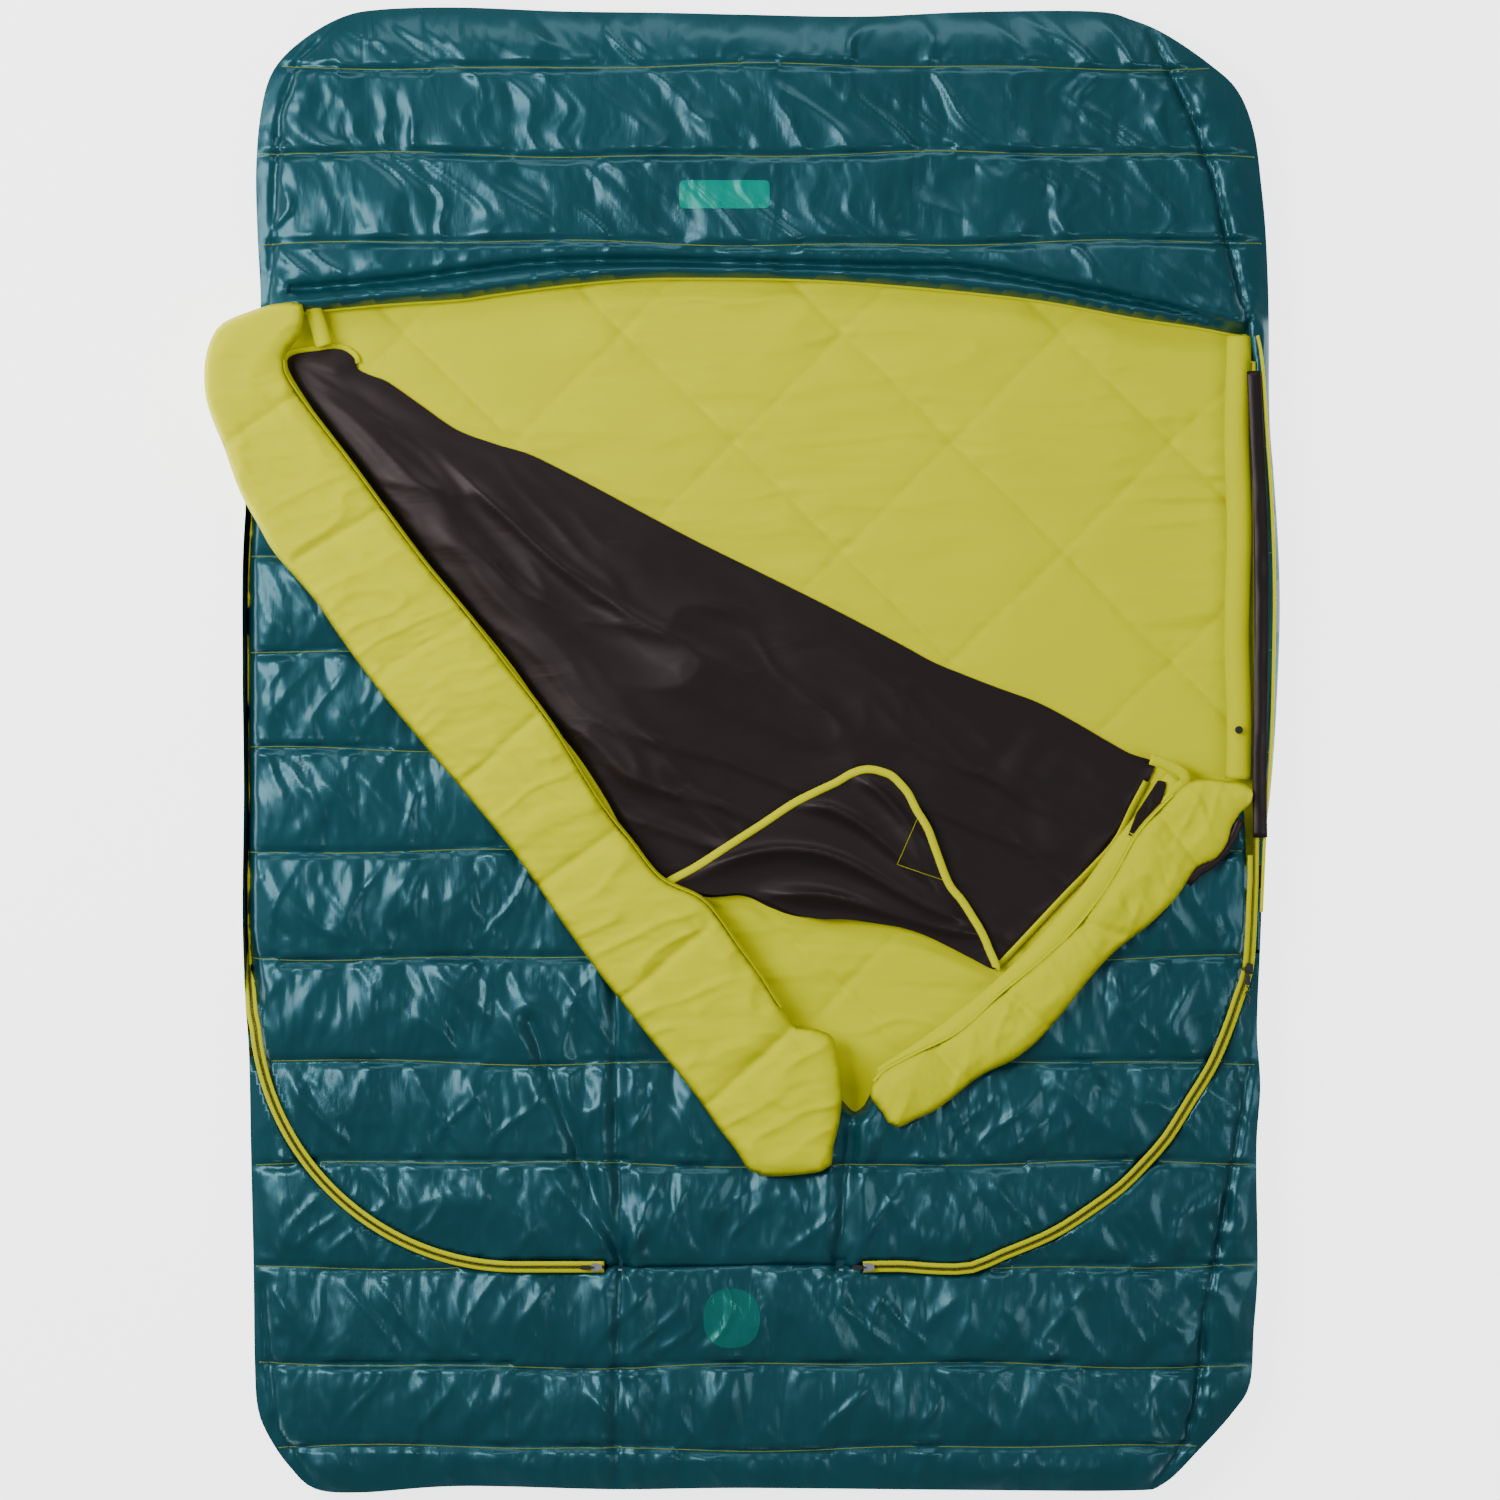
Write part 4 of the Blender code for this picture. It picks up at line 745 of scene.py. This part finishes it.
for inset, z in zip(insets, levels):
    loose = join * smooth((EDGE_Z - z) / 0.012) * smooth((z - 0.0005) / 0.006)
    crumple = 0.005 * (0.5 + 0.5 * noise(arc * 11 + z * 30, z * 34 + 0 * arc, 121))
    crumple += 0.0026 * (0.5 + 0.5 * noise(arc * 37 - z * 50, z * 60 + 0 * arc, 122))
    at = outer + inwards * (inset + loose * crumple)[:, None]
    ground.append(np.concatenate([at, np.full((len(at), 1), z)], 1))
rings = np.concatenate(ground)
count = len(outer)
bottom = tuple(range((len(ground) - 1) * count, len(ground) * count))
under = mesh_object("shell_underside", rings, [face[::-1] for face in quads(len(ground), count) + [bottom]])
dress(under, shell_look, "base", "shell_fabric", "base_shell", "base_insulation")

# ---- hood

head = outer[outer[:, 1] > 0.66]
head = head[np.argsort(np.arctan2(head[:, 1] - 0.66, head[:, 0] - 0.03))]
hood_loop = np.concatenate([mouth, head[2:-2]])
hem_top = curve(HEM_TOP, closed=False)


def hood_height(x, y, d):
    away = gap_to(x, y, outer)
    front = gap_to(x, y, mouth, False)
    z = edged(shell_top(x, y, 0.006), EDGE_Z, away, 0.06)
    z = edged(z, 0.06, front, 0.012)
    groove = gap_to(x, y, hem_top, False)
    return z - 0.016 * bell(groove, 0.0055) - 0.006 * bell(groove, 0.015)


hood = panel("hood_puffed_shell", hood_loop, 0.0048, hood_height)
dress(hood, shell_look, "base", "shell_fabric", "hood_shell", "hood_insulation", "hood_hem_tube",
      "head_gusset")
strip("hood_lining_edge", mouth[2:-2] + [0, 0.012], 0.03, level(0.052), 0.004, lime_look, "base",
      "lining_fabric", "hood_liner")

# ---- lime lining of the base, stitched in diamonds

DIAMOND = 0.34
DIAMONDS = ((1, 0.122), (-1, 0.185))


def lining_height(x, y, d):
    z = np.full(len(x), LINER_Z + 0.004)
    for lean, start in DIAMONDS:
        across = (x + lean * y - start) / DIAMOND + 0.012 * noise(x * 7, y * 7, 43)
        gap = np.abs(across - np.round(across)) * DIAMOND / math.sqrt(2)
        deep = 1.5 if lean > 0 else 0.65
        z -= deep * (0.0036 * bell(gap, 0.005) + 0.0028 * bell(gap, 0.028))
        z += 0.0012 * noise(x * 60, y * 60, 46) * bell(gap, 0.022)
    drag = smooth((noise(x * 2.2, y * 3, 44) + 0.35) / 0.6)
    z += 0.0056 * (folds(x, y, 3, 0.24, 0.038, 41, 1.5) - 0.3) * drag
    z += 0.0024 * folds(x, y, -2, 0.16, 0.013, 42, 1.3) * drag
    z += 0.0014 * noise(x * 9, y * 26, 47)
    # it lies flatter under the sheet
    away = gap_to(x, y, sheet_loop)
    pressed = np.where(within(x, y, sheet_loop), 1.0, smooth(1 - away / 0.02))
    return z + (LINER_Z + 0.0005 + 0.15 * (z - LINER_Z) - z) * pressed


sheet_loop = curve(SHEET_TOP, step=0.008)
liner_loop = curve(mm([
    (-748, -600), (-705, -660), (-300, -700), (300, -700), (690, -665), (750, -600), (778, -480),
    (784, -320), (790, -160), (798, -20), (800, 300), (796, 550), (780, 700), (400, 800), (0, 820),
    (-400, 800), (-650, 750), (-732, 700), (-742, 600), (-756, 460), (-768, 300), (-770, 120),
    (-768, -60), (-770, -250), (-765, -380), (-758, -480),
]))
liner = panel("diamond_quilted_lining", liner_loop, 0.0052, lining_height)
dress(liner, lime_look, "base", "lining_fabric", "base_liner", "footbox_liner")

# ---- top quilt

opening = curve(OPENING, closed=False, step=0.01)
quilt_loop = np.concatenate([
    moved(left_zip, -ZIP_HALF)[::-1], middle - [0, 0.0025], moved(right_zip, ZIP_HALF)[:-5], opening[::-1],
])


def quilt_height(x, y, d):
    away = gap_to(x, y, outer)
    z = edged(shell_top(x, y, 0.001), EDGE_Z, away, 0.05)
    near = smooth(zip_gap(x, y) / 0.022)
    z = z * near + np.minimum(z, zip_z(x, y) - 0.002) * (1 - near)
    front = gap_to(x, y, opening, False)
    return np.minimum(edged(z, QUILT_UNDER_Z + 0.014, front, 0.02), 0.0975)


def quilt_under(x, y, d):
    return np.minimum(QUILT_UNDER_Z + 0.01 * (1 - smooth(d / 0.02)), quilt_height(x, y, d) - 0.0008)


quilt = panel("top_quilt_puffed_shell", quilt_loop, 0.005, quilt_height, under=quilt_under)
dress(quilt, shell_look, "top_quilt", "shell_fabric", "quilt_shell", "quilt_insulation")
quilt_lining = panel(
    "top_quilt_lining", quilt_loop, 0.01,
    lambda x, y, d: quilt_under(x, y, d) - 0.0026 - 0.001 * folds(x, y, 45, 0.3, 0.1, 51),
)
dress(quilt_lining, lime_look, "top_quilt", "lining_fabric", "quilt_liner")

# ---- turned-back edges

def band_height(line, seams, thick, seed):
    """Height of a puffed edge folded over, running at line degrees, its cross seams dipped and puckered."""
    def height(x, y, d):
        round_off = np.sqrt(np.clip(1 - (1 - np.clip(d / 0.032, 0, 1)) ** 2, 0, 1))
        z = thick * (0.25 + 0.75 * round_off)
        for ends in seams:
            gap = gap_to(x, y, ends, False)
            z -= 0.0075 * bell(gap, 0.008) + 0.0035 * bell(gap, 0.03)
            z += 0.0022 * folds(x, y, line - 8, 0.1, 0.02, seed + 3) * bell(gap, 0.05) * round_off
        z += 0.0054 * (folds(x, y, line + 78, 0.11, 0.035, seed, 1.5) - 0.35) * round_off
        z += 0.0036 * (folds(x, y, line + 20, 0.1, 0.028, seed + 8, 1.4) - 0.35) * round_off
        z += 0.0018 * folds(x, y, line + 60, 0.07, 0.011, seed + 12, 1.3) * round_off
        return BAND_UNDER_Z + np.maximum(z, 0.001 + 0.003 * (d > 0))
    return height


LEFT_SEAMS = [mm(ends) for ends in (
    ((-687, 547), (-795, 474)), ((-560, 370), (-690, 292)), ((-431, 193), (-553, 131)),
    ((-323, 48), (-425, -43)), ((-190, -120), (-310, -205)), ((-56, -272), (-184, -381)),
    ((68, -435), (-49, -543)),
)]
RIGHT_SEAMS = [mm(ends) for ends in (
    ((640, -95), (705, -180)), ((520, -268), (600, -290)), ((400, -372), (470, -430)),
    ((290, -455), (345, -515)),
)]


def band_under(x, y, d):
    return BAND_UNDER_Z + 0.0006 + 0.004 * (1 - smooth(d / 0.02))


def band(side, outline, step, line, seams, thick, seed):
    made = panel(side + "_turned_back_edge", curve(outline), step, band_height(line, seams, thick, seed),
                 under=band_under)
    dress(made, lime_look, side + "_turnback", "lining_fabric", side + "_fold_shell",
          side + "_fold_insulation", side + "_fold_liner")


BAND_THICK = BAND_TOP_Z - BAND_UNDER_Z
band("left", LEFT_BAND, 0.0042, -52, LEFT_SEAMS, BAND_THICK, 61)
band("right", RIGHT_BAND, 0.004, 44, RIGHT_SEAMS, BAND_THICK - 0.003, 71)

inner_line = curve(mm([(668, -46), (640, -88), (590, -150), (530, -232), (455, -318), (385, -385),
                       (300, -452), (215, -508)]), closed=False)
inner_facing = strip("right_inner_facing_strip", inner_line, 0.038,
                     lambda x, y: 0.064 + 0.002 * noise(x * 22, y * 22, 103), 0.006, lime_look,
                     "top_quilt", "lining_fabric", puff=0.3)
brown_line = curve(mm([(766, -106), (750, -142), (726, -172), (700, -189), (684, -206)]), closed=False,
                   step=0.008)
strip("right_turnback_brown_edge", brown_line, 0.014, level(0.088), 0.002, satin_look, "right_turnback",
      "sheet_satin", puff=0.4)

# ---- sheet and its flipped corner

flap_loop = curve(FLAP, step=0.006)


def sheet_height(x, y, d):
    # folds fan out from the top left corner towards the right edge
    angle = np.arctan2(0.66 - y, x + 0.8)
    far = np.hypot(0.66 - y, x + 0.8)
    sway = angle + 0.05 * np.sin(far * 7)
    fan = ridge(noise(sway * 11, far * 1.6, 81), 1.7, 1.3)
    z = 0.0085 * fan * smooth(d / 0.05) * (0.45 + 0.55 * smooth((0.5 - x) / 0.6))
    z += 0.0036 * (folds(x, y, -24, 0.35, 0.07, 84, 1.3) - 0.2) * smooth(d / 0.04)
    z += 0.006 * folds(x, y, 40, 0.3, 0.075, 86, 1.4) * smooth(d / 0.04) * smooth((x - 0.36) / 0.1)
    z += 0.0022 * folds(x, y, -44, 0.24, 0.036, 88, 1.5) * smooth(d / 0.03)
    z += 0.005 * smooth(d / 0.012)
    # it lies flatter along its fold line
    past = (x - fold_at.x) * fold_across.x + (y - fold_at.y) * fold_across.y
    return SHEET_Z + z * (0.3 + 0.7 * smooth(past / 0.07))


def flap_height(x, y, d):
    angle = np.arctan2(y + 0.29, 0.46 - x)
    far = np.hypot(y + 0.29, 0.46 - x)
    sway = angle + 0.1 * np.sin(far * 11 + 1.0)
    fan = ridge(noise(sway * 5.5, far * 2.2, 91), 1.7, 1.3)
    z = SHEET_Z + 0.02 + 0.011 * fan * smooth(d / 0.035)
    z += 0.0022 * noise(sway * 12, far * 5, 95) * smooth(d / 0.02)
    return z


sheet = panel("satin_sheet", sheet_loop, 0.0055, sheet_height)
dress(sheet, satin_look, "sheet", "sheet_satin", "sheet_upper")
flap = panel("satin_sheet_corner", flap_loop, 0.0042, flap_height)
dress(flap, satin_look, "sheet_corner", "sheet_satin", "sheet_corner")
strip("satin_sheet_lower", mm([(-660, 575), (-300, 400), (100, 200), (600, -30)]), 0.03,
      level(LINER_Z + 0.0035), 0.001, satin_look, "base", "sheet_satin", "sheet_lower", shift=-0.022)


def on(height, loop):
    """A height function of x and y only, for what is laid on a panel."""
    return lambda x, y: height(x, y, gap_to(x, y, loop))


def stretch_of(loop, start, end):
    """The part of a closed line from the point nearest start on to the one nearest end."""
    a = int(np.argmin(np.hypot(*(loop - start).T)))
    b = int(np.argmin(np.hypot(*(loop - end).T)))
    return loop[a:b + 1] if a <= b else np.concatenate([loop[a:], loop[:b + 1]])


sheet_on, flap_on = on(sheet_height, sheet_loop), on(flap_height, flap_loop)
left_hem = strip("sheet_left_binding_tape", stretch_of(sheet_loop, (-0.128, -0.209), (-0.599, 0.6)),
                 0.0085, sheet_on, 0.0022, lime_look, "sheet", "zip_tape", "sheet_left_binding",
                 shift=0.003, puff=0.3)
right_hem = strip("sheet_right_binding_tape", stretch_of(sheet_loop, (0.637, -0.02), (0.392, -0.338))[3:],
                  0.0095, sheet_on, 0.0022, lime_look, "sheet", "zip_tape", "sheet_right_binding",
                  shift=-0.003, puff=0.3)
flap_hem = strip("sheet_corner_binding_tape", stretch_of(flap_loop, (0.392, -0.341), (-0.13, -0.209)),
                 0.0125, flap_on, 0.0026, lime_look, "sheet_corner", "zip_tape", "corner_binding",
                 shift=0.004, puff=0.3)

# ---- cloth that crosses the folds and the foot hinge

def crossing(made, look):
    """Gives a piece its look, and bakes its transform in."""
    paint(made, look)
    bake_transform(made)


def roll(name, line, high):
    """The rounded edge of a fold, from the quilt round to high on other, bulging to the line's left."""
    left = lefts(line)
    rows = [np.column_stack([line + left * (ROLL_BULGE * math.cos(a) - 0.002), np.full(
        len(line), (ROLL_LOW + high) / 2 + (high - ROLL_LOW) / 2 * math.sin(a))])
        for a in np.radians(np.linspace(-90, 90, 13))]
    made = mesh_object(name, np.concatenate(rows), quads(len(rows), len(line), ring=False))
    crossing(made, lime_look)


ROLL_LOW, ROLL_BULGE = 0.052, 0.0045
roll("left_fold_edge", stretch_of(curve(LEFT_BAND), (0.06, -0.4), (-0.704, 0.595))[::-1], 0.098)
roll("right_fold_edge", stretch_of(curve(RIGHT_BAND), (0.205, -0.505), (0.66, -0.07)), 0.096)
hinge_x = np.linspace(-0.2, 0.168, 60)
hinge = ribbon("foot_hinge_fold", np.stack([hinge_x, np.full(60, ZIP_Y)], 1), 0.034, level(SEAM_Z - 0.0065),
               0.001)
crossing(hinge, shell_look)

# ---- a strap at the sheet's right corner, with a dark triangle inside it
strap_line = curve(mm([(628, -14), (652, -22), (678, -36), (684, -46), (672, -60), (648, -84)]), closed=False,
                   step=0.006)
strip("sheet_corner_strap", strap_line, 0.017, level(0.0725), 0.0024, lime_look, "base", "lining_fabric",
      "sheet_loop", puff=0.3)
triangle_loop = np.array(mm([(640, -46), (654, -50), (646, -78), (618, -114), (588, -146), (606, -98)]))
triangle = panel("dark_triangle_lining", triangle_loop, 0.0035,
                 lambda x, y, d: 0.0745 + 0.0008 * noise(x * 90, y * 90, 111))
dress(triangle, satin_look, "base", "sheet_satin")

# ---- stitched patch on the flipped corner
stitch = np.concatenate([np.linspace((0.272, -0.098), (0.237, -0.177), 24),
                         np.linspace((0.237, -0.177), (0.316, -0.204), 24)])
stitch_line = cable("corner_patch_stitching",
                    np.column_stack([stitch, flap_on(stitch[:, 0], stitch[:, 1]) + 0.0004]), 0.0007, 5)
dress(stitch_line, lime_thread_look, "sheet_corner", "zip_tape", "corner_patch")

# ---- threads along the seams

THREAD_R = 0.0009


def threads(name, lines, height, body):
    parts = []
    for line in lines:
        if len(line) < 3:
            continue
        z = height(line[:, 0], line[:, 1])
        parts.append(cable(name + str(len(parts)), np.column_stack([line, z + THREAD_R * 0.5]), THREAD_R, 5))
    return dress(merged(name, parts), thread_look, body, "zip_tape")


def split_inside(line, keep):
    """The runs of a line's points that keep allows."""
    out, run = [], []
    for point, good in zip(line, keep):
        if good:
            run.append(point)
        elif run:
            out.append(np.array(run))
            run = []
    if run:
        out.append(np.array(run))
    return out


xs = np.arange(-0.8, 0.84, 0.005)
base_lines, quilt_lines, hood_lines = [], [], []
for seam in ALL_SEAMS:
    line = np.stack([xs, seam_y(seam, xs)], 1)
    x, y = line[:, 0], line[:, 1]
    shown = within(x, y, outer) & (gap_to(x, y, outer) > 0.004)
    if seam in HOOD_SEAMS:
        hood_lines += split_inside(line, shown)
    else:
        quilt_lines += split_inside(line, within(x, y, quilt_loop) & (gap_to(x, y, quilt_loop) > 0.003))
        base_lines += split_inside(line, shown & ~within(x, y, hole) & (gap_to(x, y, hole) > 0.003))
threads("hood_seam_threads", hood_lines, on(hood_height, hood_loop), "base")
threads("footbox_seam_threads", base_lines, on(base_height, base_loop), "base")
threads("quilt_seam_threads", quilt_lines, on(quilt_height, quilt_loop), "top_quilt")

# ---- zips

def resampled(line, step):
    """A line's points at an even spacing."""
    gone = np.concatenate([[0], np.cumsum(np.hypot(*np.diff(line, axis=0).T))])
    at = np.arange(0, gone[-1], step)
    return np.column_stack([np.interp(at, gone, line[:, 0]), np.interp(at, gone, line[:, 1])])


COIL_R = 0.0013


def coil(name, line, side, body, node):
    """One half of a zip's coil: a line swollen at each loop."""
    fine = moved(resampled(line, 0.001), side * COIL_R)
    bumps = 0.75 + 0.35 * np.sin(np.arange(len(fine)) * math.pi * 2 / 3.0)
    made = cable(name, np.column_stack([fine, tape_z(fine[:, 0], fine[:, 1]) + 0.0022]), COIL_R, 6, bumps)
    return dress(made, coil_look, body, "zip_coil", node)


left_fine, right_fine = resampled(left_zip_shown, 0.006), resampled(right_zip, 0.006)
side_at = (0.77, -0.337)
low_right = right_fine[: int(np.argmin(np.hypot(*(right_fine - side_at).T)))]
high_right = right_fine[len(low_right):]
TAPE_WIDTH, TAPE_SHIFT = 0.0082, 0.0046
halves = [
    ("left_zip_outer", left_fine, 1, "base", "left_outer"),
    ("left_zip_inner", left_fine, -1, "top_quilt", "left_inner"),
    ("right_zip_outer", right_fine, -1, "base", "right_outer"),
    ("right_zip_inner", low_right, 1, "top_quilt", "right_inner"),
    ("right_zip_open", high_right[:30], 1, "top_quilt", "right_open"),
]
for name, line, side, body, node in halves:
    strip(name + "_tape", line, TAPE_WIDTH, tape_z, 0.0012, tape_look, body, "zip_tape", node + "_tape",
          shift=side * TAPE_SHIFT)
for name, line, side, body, node in halves[:4]:
    coil(name + "_coil", line, side, body, node + "_coil")

# ---- linings along the open side

draft_line = np.stack([0.765 + 0.002 * np.sin(np.linspace(0, 14, 90)), np.linspace(-0.045, 0.64, 90)], 1)
draft = strip("right_draft_flap", draft_line, 0.04,
              lambda x, y: 0.06 + 0.0015 * noise(x * 20, y * 18, 97), 0.01, lime_look, "base",
              "lining_fabric", "right_draft_tube", puff=0.35)
left_draft_line = np.stack([np.linspace(-0.668, -0.65, 14), np.linspace(0.69, 0.625, 14)], 1)
left_draft = strip("left_draft_flap", left_draft_line, 0.026, level(0.06), 0.008, lime_look, "base",
                   "lining_fabric", "left_draft_tube", puff=0.4)
facing_line = curve(mm([(797, -135), (796, -40), (798, 120), (799, 260), (797, 370), (792, 480), (787, 585)]),
                    closed=False)
strip("right_zip_facing_strip", facing_line, 0.022,
      lambda x, y: 0.0835 + 0.001 * noise(x * 60, y * 30, 99), 0.0016, satin_look, "base", "sheet_satin",
      "right_zip_facing", puff=0.8)
piping_line = curve(mm([(799, -250), (806, -100), (814, 0), (818, 150), (819, 260), (815, 380), (807, 500),
                        (800, 600), (793, 640)]), closed=False)
piping = cable("right_side_piping", np.column_stack([piping_line, np.full(len(piping_line), 0.08)]),
               0.0026, 8)
dress(piping, lime_look, "base", "zip_tape", "right_piping")

# ---- small CAD pieces kept as they are, with their looks

paint(frame["nodes"]["snap_socket"], black_look)
for node in ("left_zip_stop", "right_zip_stop", "left_foot_slider", "right_foot_slider"):
    paint(frame["nodes"][node], metal_look)
for node in ("side_slider_body", "left_foot_pull", "right_foot_pull", "side_slider_pull"):
    paint(frame["nodes"][node], pull_look)

# ---- the side pull's cord, with its knot

CORD_R = 0.0011
cord_line = curve([(0.7752, -0.364), (0.7788, -0.369), (0.7738, -0.375), (0.7792, -0.381),
                   (0.7772, -0.388)], closed=False, step=0.0008)
rise = np.linspace(0, 1, len(cord_line))
cord_path = np.column_stack([cord_line, 0.0922 + 0.0008 * np.sin(rise * 7)])
pull_cord = cable("side_pull_braid", cord_path, CORD_R, 10,
                  1 + 0.06 * np.sin(np.arange(len(cord_path)) * 1.9))
dress(pull_cord, black_look, "side_pull", "cord_black", "side_pull_cord")
knot_turn = np.linspace(0, 4.4 * math.pi, 60)
knot_at = cord_path[-1]
knot = cable("side_pull_knot", np.column_stack([
    knot_at[0] + 0.0013 * np.cos(knot_turn), knot_at[1] - 0.0016 + 0.0013 * np.sin(knot_turn),
    knot_at[2] - 0.0008 + 0.0016 * np.linspace(0, 1, 60)]), CORD_R, 8)
dress(knot, black_look, "side_pull", "cord_black")

# ---- plain patches: laid on the shell

def patch(name, centre, size, corner, height, look, node):
    """A plain mark with its corners cut off by corner."""
    w, h = size[0] / 2, size[1] / 2
    low, high = (w - corner, h), (w, h - corner)
    cuts = [(-high[0], -high[1]), (-low[0], -low[1]), (low[0], -low[1]), (high[0], -high[1]),
            high, low, (-low[0], low[1]), (-high[0], high[1])]
    loop = curve(np.array(cuts) + centre, step=0.004)
    made = panel(name, loop, 0.003, lambda x, y, d: height(x, y) + 0.0008)
    return dress(made, look, "base", "patch_print", node)


patch("hood_plain_patch", (-0.03, 0.858), (0.139, 0.043), 0.004, on(hood_height, hood_loop), patch_look,
      "hood_label")
patch("foot_plain_patch", (-0.019, -0.878), (0.082, 0.086), 0.022, on(base_height, base_loop), emblem_look,
      "foot_label")

# ---- floor, light and camera

FLOOR_HALF, FLOOR_Z = 9, -0.0005
ends = [(x * FLOOR_HALF, y * FLOOR_HALF, FLOOR_Z) for x, y in ((-1, -1), (1, -1), (1, 1), (-1, 1))]
floor = mesh_object("floor", ends, [(0, 1, 2, 3)], shade=False)
white = bpy.data.materials.new("studio_white")
white.use_nodes = True
fill(white.node_tree.nodes["Principled BSDF"], {
    "Base Color": (0.92, 0.92, 0.92, 1), "Roughness": 0.9, "Emission Color": (1, 1, 1, 1),
    "Emission Strength": 2.9,
})
paint(floor, white)

world = bpy.data.worlds.new("studio")
bpy.context.scene.world = world
world.use_nodes = True
fill(world.node_tree.nodes["Background"], {"Color": (0.95, 0.98, 1.0, 1), "Strength": 0.28})


def lamp(name, at, size, power):
    """A white area lamp aimed at the middle of the bag; power in watts."""
    data = bpy.data.lights.new(name, "AREA")
    data.shape, data.size, data.size_y, data.energy = "RECTANGLE", *size, power
    made = bpy.data.objects.new(name, data)
    made.location = at
    made.rotation_euler = (Vector((0, 0, 0.1)) - Vector(at)).to_track_quat("-Z", "Y").to_euler()
    bpy.context.scene.collection.objects.link(made)


lamp("soft_left", (-2.7, 0.9, 3.5), (1.3, 3.0), 172)
lamp("soft_head", (0.3, 3.3, 3.1), (3.0, 1.0), 42)
lamp("soft_right", (2.9, -0.8, 3.9), (0.9, 2.2), 34)

eye = bpy.data.cameras.new("eye")
# the camera looks straight down; SENSOR is in mm, SEEN is the width in metres it takes in at height SEEN_Z
SENSOR, DISTANCE, SEEN, SEEN_Z, MIDDLE_X = 36, 9.0, 2.316, 0.08, 0.0093
eye.type, eye.sensor_width, eye.clip_end = "PERSP", SENSOR, 60
eye.lens = SENSOR * DISTANCE / SEEN
camera = bpy.data.objects.new("eye", eye)
camera.location = (MIDDLE_X, 0.0, DISTANCE + SEEN_Z)
camera.rotation_euler = (0, 0, 0)
bpy.context.scene.collection.objects.link(camera)
bpy.context.scene.camera = camera
